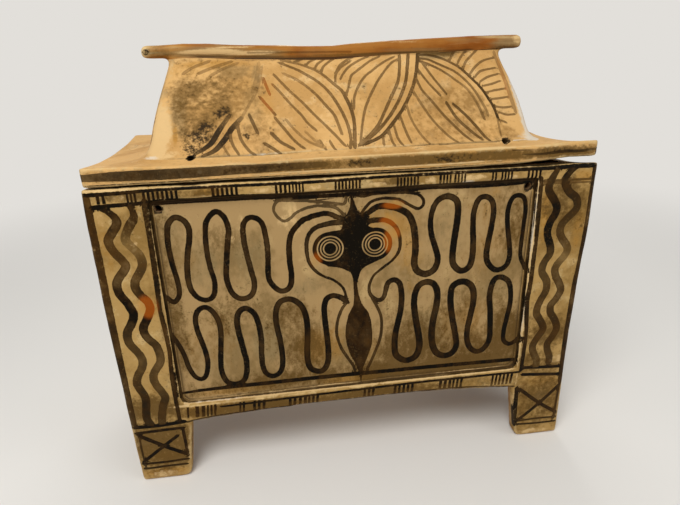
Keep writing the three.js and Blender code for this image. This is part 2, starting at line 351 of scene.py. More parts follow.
    sheen = put(tree, "ShaderNodeMath", {
        0: opaque, 1: paintLook["sheen"], 2: moved["sheen"]}, operation="MULTIPLY_ADD")
    dull = put(tree, "ShaderNodeMix", {0: coated, 2: clayLook["bareRoughness"], 3: sheen})
    height = put(tree, "ShaderNodeMath", {
        0: cover, 1: paintLook["height"], 2: moved["relief"]}, operation="MULTIPLY_ADD")
    relief = put(tree, "ShaderNodeBump", {
        "Height": height, "Distance": 1 * mm, "Strength": clayLook["bump"]})
    shader = put(tree, "ShaderNodeBsdfPrincipled", {
        "Base Color": colour, "Roughness": dull, "Normal": relief,
        "IOR": clayLook["ior"], "Specular IOR Level": clayLook["specular"]})
    put(tree, "ShaderNodeOutputMaterial", {"Surface": shader})
    return material


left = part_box("post_front_left")[0].x
slotMaterials = {
    "frame_slip": "frameSlip", "panel_slip": "panelSlip", "lid_slip": "lidSlip",
    "beam_slip": "beamSlip", "bare_clay": "bareClay",
}
slotOf = {part["node"]: part["material_slot"] for part in frame["record"]["subparts"]}
materials = {name: clayMaterial(name, colours, False) for name, colours in slips.items()}
materials["octopusPanel"] = clayMaterial("octopusPanel", slips["panelSlip"], True)
print("materials made")


def materialOf(name):
    return materials["octopusPanel" if name == "front_panel" else slotMaterials[slotOf[name]]]


clay = {
    "grain": 3.6 * mm,  # mesh size of the fused clay
    "softening": 9,  # smoothing passes, which round the arrises to about 6 mm
    "seamShift": 4 * mm,  # a seam is cut this far inside the clay, clear of its faces
    "coving": 90,  # more passes where the lid's walls flow into its plate and bar
    "proudPasses": 5,  # smoothing of the measure of how far the clay stands proud
    "legSeam": 3 * mm,  # a post takes all the clay from this far below the rails
    "floorSeam": 6 * mm,  # the floor takes the clay this far above and below its slab
    "barSeam": 3.5 * mm,  # and the bar this far below it
    "sharpAngle": 52,  # degrees; a sharper edge is shaded as one
}


# Solids used as cutters
def prism(outline, plane, low, high):
    # An outline in two axes, stretched along the third from low to high
    lay = {
        "xy": lambda u, v, w: (u, v, w),
        "xz": lambda u, v, w: (u, w, v),
        "yz": lambda u, v, w: (w, u, v),
    }[plane]
    form = bmesh.new()
    base = [form.verts.new(lay(u, v, low)) for u, v in outline]
    top = [form.verts.new(lay(u, v, high)) for u, v in outline]
    form.faces.new(base)
    form.faces.new(top[::-1])
    for i in range(len(base)):
        j = (i + 1) % len(base)
        form.faces.new((base[i], top[i], top[j], base[j]))
    bmesh.ops.recalc_face_normals(form, faces=form.faces)
    mesh = bpy.data.meshes.new("tool")
    form.to_mesh(mesh)
    form.free()
    return newObject("tool", mesh)


def block(low, high):
    outline = [(low[0], low[1]), (high[0], low[1]), (high[0], high[1]), (low[0], high[1])]
    return prism(outline, "xy", low[2], high[2])


def combine(body, tool, operation):
    modifier = body.modifiers.new("cut", "BOOLEAN")
    modifier.operation = operation
    modifier.solver = "MANIFOLD"
    modifier.object = tool
    return settled(body)


def neighbours(mesh):
    # A function that takes a value at each point to the mean of the values next to it
    edges = np.empty(len(mesh.edges) * 2, np.int32)
    mesh.edges.foreach_get("vertices", edges)
    a, b = edges.reshape(-1, 2).T
    size = len(mesh.vertices)
    count = np.bincount(a, minlength=size) + np.bincount(b, minlength=size)
    return lambda values: (np.bincount(a, values[b], size) + np.bincount(b, values[a], size)) / count


def fuse(name, nodes, extra=(), softer=None):
    # The clay of one body, made from its slabs, with how far each point stands proud or hollow.
    # softer gives how much more each point is softened, from 0 to 1
    whole = bmesh.new()
    for node in nodes:
        one = bmesh.new()
        one.from_mesh(frame["nodes"][node].data)
        bmesh.ops.remove_doubles(one, verts=one.verts, dist=0.01 * mm)
        mesh = bpy.data.meshes.new(node)
        one.to_mesh(mesh)
        one.free()
        whole.from_mesh(mesh)
        bpy.data.meshes.remove(mesh)
    for made in extra:
        whole.from_mesh(made.data)
    mesh = bpy.data.meshes.new(name)
    whole.to_mesh(mesh)
    whole.free()
    mass = newObject(name, mesh)
    remesh = mass.modifiers.new("fuse", "REMESH")
    remesh.mode = "VOXEL"
    remesh.voxel_size = clay["grain"]
    soften = mass.modifiers.new("soften", "SMOOTH")
    soften.factor = 0.5
    soften.iterations = clay["softening"]
    settled(mass)

    mesh = mass.data
    place = numbers(mesh.vertices, "co", 3)
    around = neighbours(mesh)
    if softer:
        share = 0.5 * softer(place / mm)[:, None]
        for i in range(clay["coving"]):
            place += share * (np.stack([around(place[:, k]) for k in range(3)], 1) - place)
        mesh.vertices.foreach_set("co", place.astype(np.float32).ravel())
        mesh.update()
    normal = numbers(mesh.vertex_normals, "vector", 3)
    mean = np.stack([around(place[:, i]) for i in range(3)], 1)
    proud = -((mean - place) * normal).sum(1) / mm
    for i in range(clay["proudPasses"]):
        proud = 0.5 * proud + 0.5 * around(proud)
    mesh.attributes.new("proud", "FLOAT", "POINT").data.foreach_set("value", proud.astype(np.float32))
    facing = mesh.attributes.new("facing", "FLOAT_VECTOR", "POINT")
    facing.data.foreach_set("vector", normal.astype(np.float32).ravel())
    most = np.percentile(proud, [0, 2, 50, 90, 98, 100]).round(3)
    print(name, "fused:", len(mesh.polygons), "faces, proud", most)
    return mass


pieces = {}


def split(mass, tool, name):
    # Moves what lies inside the tool out of the mass, into a piece
    piece = newObject(name, mass.data.copy())
    combine(piece, tool, "INTERSECT")
    combine(mass, tool, "DIFFERENCE")
    bpy.data.objects.remove(tool)
    pieces[name] = piece


# Ridge bar: a coil of clay swept along a sagging line
beamLow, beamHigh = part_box("ridge_beam")
bar = {
    "Left end": beamLow.x,
    "Right end": beamHigh.x,
    "Level": beamHigh.z - 13 * mm,
    "Sag": 8 * mm,
    "Height": 26 * mm,
    "Depth": 36 * mm,
    "Edge radius": 10 * mm,
    "End rounding": 13 * mm,
    "Right girth": 1.14,  # the right half against the left
}


barMesh = {  # how finely the bar is made, and how its ends close
    "pathSteps": 64,
    "rings": 300,
    "cornerSteps": 6,
    "endPower": 2.2,  # 2 would be a true quarter circle
    "endFlat": 1.05,  # above 1, so that the very ends stay a little flat
    "swell": (0.45, 0.85),  # shares of the length between which the girth changes
}


def barTree():
    sizes = {name: ("Float", 0.0) for name in bar}
    tree, given = newTree("ridgeBar", sizes | {"Material": ("Material", None)})
    start = put(tree, "ShaderNodeCombineXYZ", {"X": given["Left end"], "Z": given["Level"]})
    end = put(tree, "ShaderNodeCombineXYZ", {"X": given["Right end"], "Z": given["Level"]})
    twice = put(tree, "ShaderNodeMath", {0: given["Sag"], 1: 2.0}, operation="MULTIPLY")
    low = put(tree, "ShaderNodeMath", {0: given["Level"], 1: twice}, operation="SUBTRACT")
    middle = put(tree, "ShaderNodeCombineXYZ", {"Z": low})
    path = put(tree, "GeometryNodeCurveQuadraticBezier", {
        "Resolution": barMesh["pathSteps"], "Start": start, "Middle": middle, "End": end})
    even = put(tree, "GeometryNodeResampleCurve", {"Curve": path, "Count": barMesh["rings"]})
    upright = put(tree, "GeometryNodeSetCurveNormal", {"Curve": even}, mode="Z_UP")
    # The section shrinks about as a quarter circle towards each end
    along = put(tree, "GeometryNodeSplineParameter")
    whole = put(tree, "GeometryNodeCurveLength", {"Curve": even})
    rest = put(tree, "ShaderNodeMath", {0: whole, 1: along.outputs["Length"]}, operation="SUBTRACT")
    near = put(tree, "ShaderNodeMath", {0: along.outputs["Length"], 1: rest}, operation="MINIMUM")
    share = put(tree, "ShaderNodeMath", {
        0: near, 1: given["End rounding"]}, operation="DIVIDE", use_clamp=True)
    back = put(tree, "ShaderNodeMath", {0: 1.0, 1: share}, operation="SUBTRACT")
    power = put(tree, "ShaderNodeMath", {0: back, 1: barMesh["endPower"]}, operation="POWER")
    inside = put(tree, "ShaderNodeMath", {0: barMesh["endFlat"], 1: power}, operation="SUBTRACT")
    rounding = put(tree, "ShaderNodeMath", {0: inside, 1: 0.5}, operation="POWER")
    swell = put(tree, "ShaderNodeMapRange", {
        "Value": along.outputs["Factor"], "From Min": barMesh["swell"][0],
        "From Max": barMesh["swell"][1], "To Min": 1.0, "To Max": given["Right girth"]},
        interpolation_type="SMOOTHSTEP")
    scale = put(tree, "ShaderNodeMath", {0: rounding, 1: swell}, operation="MULTIPLY")
    section = put(tree, "GeometryNodeCurvePrimitiveQuadrilateral", {
        "Width": given["Depth"], "Height": given["Height"]}, mode="RECTANGLE")
    soft = put(tree, "GeometryNodeFilletCurve", {
        "Curve": section, "Count": barMesh["cornerSteps"], "Radius": given["Edge radius"]}, mode="POLY")
    swept = put(tree, "GeometryNodeCurveToMesh", {
        "Curve": upright, "Profile Curve": soft, "Scale": scale, "Fill Caps": True})
    closeTree(tree, swept, given["Material"])
    return tree


# Tie holes: flared cutters, one at each point, along that point's axis
tieHoles = {
    "Throat": 7.0 * mm,
    "Mouth": 8.2 * mm,
    "Reach": 75 * mm,
    "sideInset": 13 * mm,  # chest: in from the side of the panel
    "drop": 20 * mm,  # chest: down from the rim rail
    "lidInset": 44 * mm,  # lid: in from the long edge
    "lidLeft": 204 * mm,  # lid: in from the left end
    "lidRight": 191 * mm,
    "lidShare": 0.84,  # lid holes against chest holes
    "lidLean": 0.9,  # how far they lean in for each unit down
    "outside": 1 * mm,  # chest: a cutter starts this far outside the clay
    "lidOutside": 6 * mm,  # lid: it starts this far out from the hole's middle
    "lidAbove": 17 * mm,  # and this far above the plate
    "facets": 28,
}


def holeTree():
    tree, given = newTree("tieHoles", {
        "Geometry": ("Geometry", None), "Throat": ("Float", 0.0), "Mouth": ("Float", 0.0),
        "Reach": ("Float", 0.0), "Material": ("Material", None)})
    cutter = put(tree, "GeometryNodeMeshCone", {
        "Vertices": tieHoles["facets"], "Radius Top": given["Throat"],
        "Radius Bottom": given["Mouth"], "Depth": given["Reach"]})
    axis = put(tree, "GeometryNodeInputNamedAttribute", {"Name": "axis"}, data_type="FLOAT_VECTOR")
    turn = put(tree, "FunctionNodeAlignRotationToVector", {"Vector": axis}, axis="Z")
    points = put(tree, "GeometryNodeMeshToPoints", {"Mesh": given["Geometry"]})
    placed = put(tree, "GeometryNodeInstanceOnPoints", {
        "Points": points, "Instance": cutter, "Rotation": turn})
    closeTree(tree, placed, given["Material"])
    return tree


holes = {"chest": [], "lid": []}  # place, axis and radius of every tie hole


def pierce(mass, body, mouths, share):
    # mouths: (place, axis) of each hole, the axis pointing into the clay
    holes[body] = [(place, axis, tieHoles["Mouth"] * share) for place, axis in mouths]
    mesh = bpy.data.meshes.new("tieHoles")
    mesh.from_pydata([place for place, axis in mouths], [], [])
    axes = mesh.attributes.new("axis", "FLOAT_VECTOR", "POINT")
    axes.data.foreach_set("vector", [c for place, axis in mouths for c in axis])
    cutters = runTree(newObject("tieHoles", mesh), holeTree(), {
        "Throat": tieHoles["Throat"] * share, "Mouth": tieHoles["Mouth"] * share,
        "Reach": tieHoles["Reach"], "Material": materials["bareClay"]})
    combine(mass, cutters, "DIFFERENCE")
    bpy.data.objects.remove(cutters)


def ease(value, low, high):
    t = np.clip((value - low) / (high - low), 0, 1)
    return t * t * (3 - 2 * t)


# Chest
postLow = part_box("post_front_left")[0]
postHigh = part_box("post_back_right")[1]
front, right, back = postLow.y, postHigh.x, postHigh.y
rimTop = postHigh.z
panelLow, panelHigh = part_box("front_panel")
endLow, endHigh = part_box("left_end_panel")
floorLow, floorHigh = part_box("floor_slab")
railLow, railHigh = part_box("bottom_rail_front")
shift = clay["seamShift"]
margin = 50 * mm
lip = 20 * mm
sink = 2 * mm
cornerRadius = railHigh.z - panelLow.z
wallThickness = panelHigh.y - front


def span(a, b):
    return min(a, b), max(a, b)


def roundedOpening(u0, u1, v0, v1, radius, steps=8):
    # The panel's outline: its two lower corners are rounded
    points = [(u1, v1), (u0, v1)]
    bends = (((u0, v0), (0, radius), (radius, 0)), ((u1, v0), (-radius, 0), (0, radius)))
    for corner, start, end in bends:
        for k in range(steps + 1):
            t = k / steps
            points.append([corner[i] + (1 - t) ** 2 * start[i] + t ** 2 * end[i] for i in (0, 1)])
    return points


def makeChest():
    mass = fuse("chestClay", bodies["chest"])
    level = panelHigh.z - tieHoles["drop"]
    start = panelLow.y - tieHoles["outside"]
    mouths = []
    for x in (panelLow.x + tieHoles["sideInset"], panelHigh.x - tieHoles["sideInset"]):
        mouths += [((x, start, level), (0, 1, 0)), ((x, -start, level), (0, -1, 0))]
    pierce(mass, "chest", mouths, 1.0)
    seam = clay["floorSeam"]
    split(mass, block((floorLow.x - sink, floorLow.y - sink, floorLow.z - seam),
                      (floorHigh.x + sink, floorHigh.y + sink, floorHigh.z + seam)), "floor_slab")
    sides = ("left", left, panelLow.x + shift), ("right", right, panelHigh.x - shift)
    for face, yEdge, yIn in (("front", front, endLow.y + shift), ("back", back, endHigh.y - shift)):
        for side, xEdge, xIn in sides:
            outX = math.copysign(margin, xEdge)
            outY = math.copysign(margin, yEdge)
            (x0, x1), (y0, y1) = span(xEdge + outX, xIn), span(yEdge + outY, yIn)
            post = block((x0, y0, -margin), (x1, y1, rimTop + margin))
            (x0, x1), (y0, y1) = span(xEdge + outX, xIn - outX), span(yEdge + outY, yIn - outY)
            leg = block((x0, y0, -2 * margin), (x1, y1, railLow.z - clay["legSeam"]))
            combine(post, leg, "UNION")
            bpy.data.objects.remove(leg)
            split(mass, post, f"post_{face}_{side}")
    for side, plane, (u0, u1), edge in (
        ("front", "xz", (panelLow.x, panelHigh.x), front),
        ("back", "xz", (panelLow.x, panelHigh.x), back),
        ("left", "yz", (endLow.y, endHigh.y), left),
        ("right", "yz", (endLow.y, endHigh.y), right),
    ):
        inside = edge - math.copysign(wallThickness + lip, edge)
        low, high = span(inside, edge + math.copysign(margin, edge))
        top = panelHigh.z - shift
        outline = roundedOpening(u0 + shift, u1 - shift, panelLow.z + shift, top, cornerRadius)
        panel = "end_panel" if plane == "yz" else "panel"
        split(mass, prism(outline, plane, low, high), f"{side}_{panel}")
        for rail, z0, z1 in (("rim", top, rimTop + margin), ("bottom", 0.0, top)):
            around = [(u0 - lip, z0), (u1 + lip, z0), (u1 + lip, z1), (u0 - lip, z1)]
            split(mass, prism(around, plane, low, high), f"{rail}_rail_{side}")
    print("chest cut along its seams; left over:", len(mass.data.polygons))
    bpy.data.objects.remove(mass)


makeChest()

# Lid
plateLow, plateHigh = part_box("lid_frame")
plateTop = plateHigh.z
footSeam = plateTop + 5 * mm
gable = {  # inner face of each gable, in from the lid's end, foot and top
    "left": (142 * mm, 184 * mm),
    "right": (152 * mm, 170 * mm),
    "apex": 201 * mm,  # where the slopes would meet, above the plate
}


coved = {  # mm: where the lid's extra softening sets in or ends, and is full or gone
    "foot": (-4, 2),  # heights from the plate's top
    "roofFoot": (25, 50),
    "bar": (940, 958),  # heights
    "sides": (198, 214),  # from the middle of the lid
    "ends": (490, 512),
    "gables": (300, 335),
}


def lidSofter(place):
    x, y, z = abs(place).T
    foot, roofFoot = (plateTop / mm + np.array(coved[key]) for key in ("foot", "roofFoot"))
    walls = ease(z, *foot) * (1 - ease(z, *coved["bar"]))
    ledge = (1 - ease(y, *coved["sides"])) * (1 - ease(x, *coved["ends"]))
    return walls * ledge * np.maximum(1 - ease(z, *roofFoot), ease(x, *coved["gables"]))


def makeLid():
    blank = newObject("ridgeBar", bpy.data.meshes.new("ridgeBar"))
    ridgeBar = runTree(blank, barTree(), bar | {"Material": materialOf("ridge_beam")})
    slabs = [name for name in bodies["lid"] if name != "ridge_beam"]
    mass = fuse("lidClay", slabs, [ridgeBar], lidSofter)
    bpy.data.objects.remove(ridgeBar)
    mouths = []
    for x in (left + tieHoles["lidLeft"], right - tieHoles["lidRight"]):
        for y in (front + tieHoles["lidInset"], back - tieHoles["lidInset"]):
            start = (x, y + math.copysign(tieHoles["lidOutside"], y), plateTop + tieHoles["lidAbove"])
            mouths.append((start, (0, math.copysign(tieHoles["lidLean"], -y), -1)))
    pierce(mass, "lid", mouths, tieHoles["lidShare"])

    steps = 24
    over = beamHigh.z + margin
    under = []
    for k in range(steps + 1):
        t = k / steps
        x = (1 - t) ** 2 * bar["Left end"] + t ** 2 * bar["Right end"]
        z = bar["Level"] - 4 * bar["Sag"] * t * (1 - t) - bar["Height"] / 2 - clay["barSeam"]
        under.append((x, z))
    ends = [(bar["Right end"] + lip, under[-1][1]), (bar["Right end"] + lip, over),
            (bar["Left end"] - lip, over), (bar["Left end"] - lip, under[0][1])]
    split(mass, prism(under + ends, "xz", -lip * 2, lip * 2), "ridge_beam")
    split(mass, block((left - margin, front - margin, plateLow.z - margin),
                      (right + margin, back + margin, footSeam)), "lid_frame")

    def slanted(side, edge, sign):
        foot, top = gable[side]
        low, high = plateTop - margin, plateTop + gable["apex"] + margin
        lean = (top - foot) / gable["apex"]
        at = [edge + sign * (foot + lean * (z - plateTop) + shift) for z in (low, high)]
        return [(edge - sign * margin, low), (at[0], low), (at[1], high), (edge - sign * margin, high)]

    split(mass, prism(slanted("left", left, 1), "xz", front, back), "gable_left")
    split(mass, prism(slanted("right", right, -1), "xz", front, back), "gable_right")
    split(mass, block((left, front - margin, 0), (right, 0, over)), "roof_slope_front")
    split(mass, block((left, 0, 0), (right, back + margin, over)), "roof_slope_back")
    print("lid cut along its seams; left over:", len(mass.data.polygons))
    bpy.data.objects.remove(mass)


makeLid()


# The hand in the clay: slow waves and finger marks, the same on both sides of every seam
hand = {
    "Slow size": 170 * mm,
    "Slow height": 3.6 * mm,
    "Finger size": 34 * mm,
    "Finger height": 1.0 * mm,
    "Sole level": 30 * mm,  # below this the soles stay flat
    "Seed": 4.7,
}

# How the fired clay is out of true, in mm: (place along the chest from its left end, amount)
warp = {
    "rimFront": ((0, -4), (60, -4.5), (150, -5), (210, -7), (270, -5.5), (340, -7), (450, -8), (580, -5),
                 (690, -6), (790, -8), (880, -8), (950, -9), (1000, -6), (1060, -6)),
    "rimBack": -4,
    "ledge": ((118, -8), (200, -7), (350, -4.5), (600, -0.5), (930, 0)),  # under the front panel
    "lidUnderside": ((0, -1.5), (210, -2), (450, -2), (580, -4), (790, -3.5), (880, -2), (950, 2.5),
                     (1000, 7), (1060, 8)),
    "lidUpperFace": ((0, -1), (60, -2), (150, -5.5), (270, -7), (340, -8), (450, -4), (580, -4),
                     (690, -2.5), (880, -1.5), (950, -0.5), (1000, 2.5), (1060, 3.5)),
    "endDip": (14, 26),  # left and right ends of lid and rim hang this much in the middle
    "endDipFrom": 400,  # and from here outwards
    "barRide": ((100, -1.5), (140, -0.5), (190, 3.5), (240, 4), (300, 2), (380, 0), (470, -3), (520, -4),
                (580, 0), (660, 3), (740, 4), (850, 3.5), (960, 0)),
    "barReach": 4,  # the bar's left end stretches this far
    "bulge": (9, 14),  # left and right gable, outwards, most a little below mid height
    # The two ends of the front and back, outwards, by height
    "leftPosts": ((0, 0), (100, 2.5), (200, 4.5), (350, 6.5), (640, 7), (735, 4)),
    "rightPosts": ((0, 0), (230, -1), (300, -2), (400, 0), (450, 1.5), (500, 3.5), (550, 6), (735, 7)),
}


def handTree():
    sizes = {name: ("Float", 0.0) for name in hand}
    tree, given = newTree("handWork", {
        "Geometry": ("Geometry", None)} | sizes | {"Material": ("Material", None)})
    place = put(tree, "GeometryNodeInputPosition")
    seed = put(tree, "ShaderNodeCombineXYZ", {"X": given["Seed"], "Y": given["Seed"]})
    shifted = put(tree, "ShaderNodeVectorMath", {0: place, 1: seed}, operation="ADD")
    moves = []
    for kind in ("Slow", "Finger"):
        scale = put(tree, "ShaderNodeMath", {0: 1.0, 1: given[kind + " size"]}, operation="DIVIDE")
        wave = put(tree, "ShaderNodeTexNoise", {"Vector": shifted, "Scale": scale, "Detail": 1.0})
        middle = put(tree, "ShaderNodeVectorMath", {
            0: wave.outputs["Color"], 1: (0.5, 0.5, 0.5)}, operation="SUBTRACT")
        moves.append(put(tree, "ShaderNodeVectorMath", {
            0: middle, "Scale": given[kind + " height"]}, operation="SCALE"))
    both = put(tree, "ShaderNodeVectorMath", {0: moves[0], 1: moves[1]}, operation="ADD")
    height = put(tree, "ShaderNodeSeparateXYZ", {0: place})
    free = put(tree, "ShaderNodeMapRange", {
        "Value": height.outputs["Z"], "From Max": given["Sole level"]})
    parts = put(tree, "ShaderNodeSeparateXYZ", {0: both})
    upward = put(tree, "ShaderNodeMath", {0: parts.outputs["Z"], 1: free}, operation="MULTIPLY")
    offset = put(tree, "ShaderNodeCombineXYZ", {
        "X": parts.outputs["X"], "Y": parts.outputs["Y"], "Z": upward})
    moved = put(tree, "GeometryNodeSetPosition", {"Geometry": given["Geometry"], "Offset": offset})
    closeTree(tree, moved, given["Material"])
    return tree


warpFrom = {  # mm: where each part of the warp sets in, and where it is full
    "rimDip": 600,  # height
    "frontSide": (-150, 150),  # towards the front
    "rim": (690, 722),  # heights
    "ledgeFoot": (165, 200),
    "ledgeTop": (216, 260),
    "ledgeFront": (195, 215),  # towards the front
    "ledgeLeft": (100, 118),  # from the left end
    "ledgeRight": (930, 950),
    "leftPosts": (0, 110),
    "rightPosts": (950, 1060),
    "barEnd": (104, 170),
    "gableEnds": (300, 375),  # from the middle outwards
    "lidDip": (25, 85),  # heights above the plate's top
    "plate": (0, 90),
    "bar": (120, 190),
    "gableTop": 185,
    "gablePeak": 0.8,  # below 1, the gables bulge most below mid height
}


def warped(place, onLid):
    # place: points in mm in the model's frame
    x, y, z = place.T
    along = x - left / mm
    outward = ease(abs(x), warp["endDipFrom"], right / mm)
    across = np.clip(1 - (y / (back / mm)) ** 2, 0, 1)
    bottom, top = plateLow.z / mm, plateTop / mm

    def amount(name, at):
        return np.interp(at, *np.array(warp[name]).T)

    def into(name, at, above=0):
        low, high = warpFrom[name]
        return ease(at, above + low, above + high)

    if onLid:
        share = 1 - into("lidDip", z, top)
        under, over = amount("lidUnderside", along), amount("lidUpperFace", along)
        lift = under + (over - under) * np.clip((z - bottom) / (top - bottom), 0, 1)
        lift = lift * (1 - into("plate", z, top))
        onBar = into("bar", z, top)
        lift += amount("barRide", along) * onBar
        height = np.clip((z - top) / warpFrom["gableTop"], 0, 1)
        arch = np.sin(np.pi * height ** warpFrom["gablePeak"]) * into("gableEnds", abs(x))
        bulge = arch * np.where(x < 0, -warp["bulge"][0], warp["bulge"][1])
        bulge -= warp["barReach"] * (1 - into("barEnd", along)) * onBar
    else:
        share = ease(z, warpFrom["rimDip"], rimTop / mm)
        inFront = into("frontSide", -y)
        drop = warp["rimBack"] * (1 - inFront) + amount("rimFront", along) * inFront
        lift = drop * into("rim", z)
        ledge = into("ledgeFoot", z) * (1 - into("ledgeTop", z)) * into("ledgeFront", -y)
        ledge = amount("ledge", along) * ledge * into("ledgeLeft", along)
        lift += ledge * (1 - into("ledgeRight", along))
        bulge = amount("rightPosts", z) * into("rightPosts", along)
        bulge -= amount("leftPosts", z) * (1 - into("leftPosts", along))
    moved = place.copy()
    moved[:, 0] += bulge
    dip = np.where(x < 0, *warp["endDip"])
    moved[:, 2] += lift - dip * outward * across * share
    return moved


def shapePieces():
    tree = handTree()
    for name, piece in pieces.items():
        place = numbers(piece.data.vertices, "co", 3) / mm
        place = warped(place, name in bodies["lid"]) * mm
        piece.data.vertices.foreach_set("co", place.astype(np.float32).ravel())
        runTree(piece, tree, hand | {"Material": materialOf(name)})
    print("warps and hand work done")


shapePieces()


# Paint: every stroke is (half width, tone, strength, points) in mm. Tone runs from 0, black
# brown, to 1, light brown; strength from 1, full, to 0, worn away. On the front, points are
# (from the left end, height); on the roof, (from the left end, up the slope).
octopus = [
    ([5.2, 6.2, 6.2, 5.6, 6.2, 6.2, 5.8, 6.4, 6.2, 5.2], 0.2, 0.96, [
        (120, 477), (133, 464), (146, 480), (147, 510), (142, 550), (139, 593), (143, 633), (152, 648),
        (163, 653), (177, 645), (185, 627), (182, 600), (173, 560), (169, 510), (175, 483), (187, 468),
        (203, 463), (218, 473), (223, 503), (218, 537), (215, 577), (217, 617), (223, 643), (242, 660),
        (258, 647), (264, 620), (259, 587), (252, 543), (249, 510), (255, 480), (267, 463), (283, 459),
        (300, 468), (307, 493), (303, 520), (297, 560), (293, 603), (297, 632), (313, 643), (332, 632),
        (339, 603), (341, 560), (338, 510), (345, 487), (363, 470), (382, 477), (388, 503), (386, 543),
        (388, 583), (397, 607), (417, 628), (430, 633), (437, 636), (451, 639), (466, 641), (477, 639),
        (487, 634), (497, 629), (508, 622)]),
    (3.2, 0.3, 0.8, [
        (513, 628), (506, 637), (499, 644), (491, 651), (480, 655), (466, 657), (451, 659), (437, 657),
        (430, 656), (407, 647), (393, 635), (380, 630), (367, 640), (360, 655), (365, 670), (377, 675),
        (417, 672), (430, 671), (437, 669), (451, 668), (473, 664), (491, 661), (501, 659), (507, 659),
        (511, 663), (512, 671), (512, 677)]),
    ([7, 6, 5.4, 5, 4.6, 4.4, 4, 3.6, 3.2, 3, 3, 3, 3, 3], 0.15, 0.95, [
        (500, 620), (475, 618), (450, 613), (433, 600), (425, 580), (424, 557), (428, 533), (440, 513),
        (457, 498), (477, 488), (493, 475), (503, 460), (508, 440), (509, 427)]),
    (3.6, 0.35, 0.9, [
        (505, 424), (497, 413), (488, 390), (483, 363), (485, 337), (493, 310), (507, 283), (520, 260),
        (524, 246)]),
    ([6.4, 7.2, 6.8, 6.2, 6.8, 6.2, 6, 5.4], 0.1, 0.97, [
        (508, 430), (493, 443), (477, 448), (463, 442), (457, 423), (457, 390), (460, 350), (462, 310),
        (460, 277), (450, 257), (437, 253), (420, 262), (413, 283), (413, 317), (416, 360), (415, 397),
        (407, 427), (390, 445), (373, 449), (357, 442), (348, 420), (347, 390), (352, 350), (355, 310),
        (353, 277), (345, 260), (330, 253), (315, 262), (308, 283), (308, 317), (310, 350), (308, 390),
        (300, 420), (283, 435), (268, 428), (261, 407), (262, 377), (267, 340), (272, 303), (270, 270),
        (260, 248), (240, 242), (222, 252), (214, 280), (215, 310), (219, 343), (223, 383), (220, 413),
        (208, 438), (193, 446), (178, 437), (172, 417), (173, 390), (180, 357), (185, 327), (185, 300),
        (178, 273), (167, 264), (153, 273), (143, 297), (137, 330), (128, 360), (117, 385)]),
    ([5.4, 7, 7.6, 8, 6, 7.8, 7.6, 6, 7.2, 6, 5.2, 4.8], 0.12, 0.97, [
        (540, 620), (550, 629), (559, 636), (566, 641), (574, 646), (584, 649), (594, 649), (604, 647),
        (616, 644), (629, 639), (647, 627), (657, 607), (663, 577), (665, 543), (663, 513), (670, 493),
        (690, 483), (710, 493), (717, 517), (710, 547), (700, 577), (697, 610), (702, 637), (713, 655),
        (733, 662), (752, 653), (758, 633), (757, 600), (753, 560), (751, 523), (755, 500), (773, 484),
        (792, 493), (798, 520), (797, 557), (794, 597), (795, 627), (803, 650), (817, 656), (833, 647),
        (840, 623), (838, 590), (833, 550), (831, 520), (837, 497), (857, 479), (880, 487), (887, 513),
        (882, 550), (875, 587), (873, 620), (880, 647), (893, 654), (908, 647), (914, 623), (913, 587),
        (912, 543), (913, 510), (923, 487), (928, 477)]),
    (3.4, 0.2, 0.95, [
        (544, 636), (549, 643), (556, 651), (564, 659), (574, 663), (584, 665), (594, 666), (606, 665),
        (619, 663), (629, 660), (657, 643), (670, 638), (680, 647), (678, 660), (667, 670), (647, 675),
        (610, 677), (577, 677), (565, 676), (550, 673), (535, 676)]),
    ([7, 6.5, 6.2, 5.6, 5, 4.4, 3.8, 3.4, 3, 3], 0.22, 0.95, [
        (545, 612), (560, 617), (575, 619), (597, 617), (613, 607), (625, 590), (630, 567), (627, 543),
        (613, 523), (593, 508)]),
    ([3, 3, 3.2, 3.8, 4.6, 5.2, 5.4, 5.4], 0.22, 0.95, [
        (593, 508), (573, 492), (562, 473), (560, 453), (567, 437), (582, 427), (593, 433),
        (598, 450)]),
    ([6, 7.2, 8.4, 7.4, 8.4, 7.6, 8, 6.8, 7.4, 6.2, 5.4], 0.14, 0.97, [
        (598, 450), (603, 468), (617, 475), (630, 465), (635, 440), (635, 410), (630, 377), (623, 343),
        (620, 310), (623, 280), (637, 265), (653, 260), (673, 270), (681, 297), (677, 333), (670, 370),
        (665, 410), (668, 440), (678, 458), (697, 463), (713, 453), (720, 430), (718, 397), (712, 360),
        (710, 323), (715, 290), (727, 270), (747, 262), (765, 270), (773, 290), (768, 323), (760, 360),
        (754, 393), (752, 427), (757, 448), (777, 457), (797, 448), (807, 427), (808, 397), (803, 363),
        (798, 327), (800, 297), (810, 275), (827, 265), (845, 273), (856, 297), (855, 330), (852, 373),
        (847, 410), (850, 440), (857, 457), (872, 460), (890, 448), (898, 423), (900, 390), (895, 350),
        (891, 317), (893, 290), (907, 277), (922, 283), (932, 297)]),
    (3.6, 0.35, 0.9, [
        (567, 433), (577, 413), (587, 387), (589, 357), (585, 327), (575, 297), (563, 267),
        (553, 246)]),
    ([4.5, 4.5, 5.5, 10, 17, 25, 30, 32, 30, 24, 16, 8, 3, 1.2], 0.35, 0.96, [
        (528, 490), (529, 465), (531, 443), (533, 420), (534, 404), (535, 388), (535, 366), (535, 343),
        (536, 320), (536, 298), (537, 278), (537, 255), (538, 235), (538, 215)]),
]

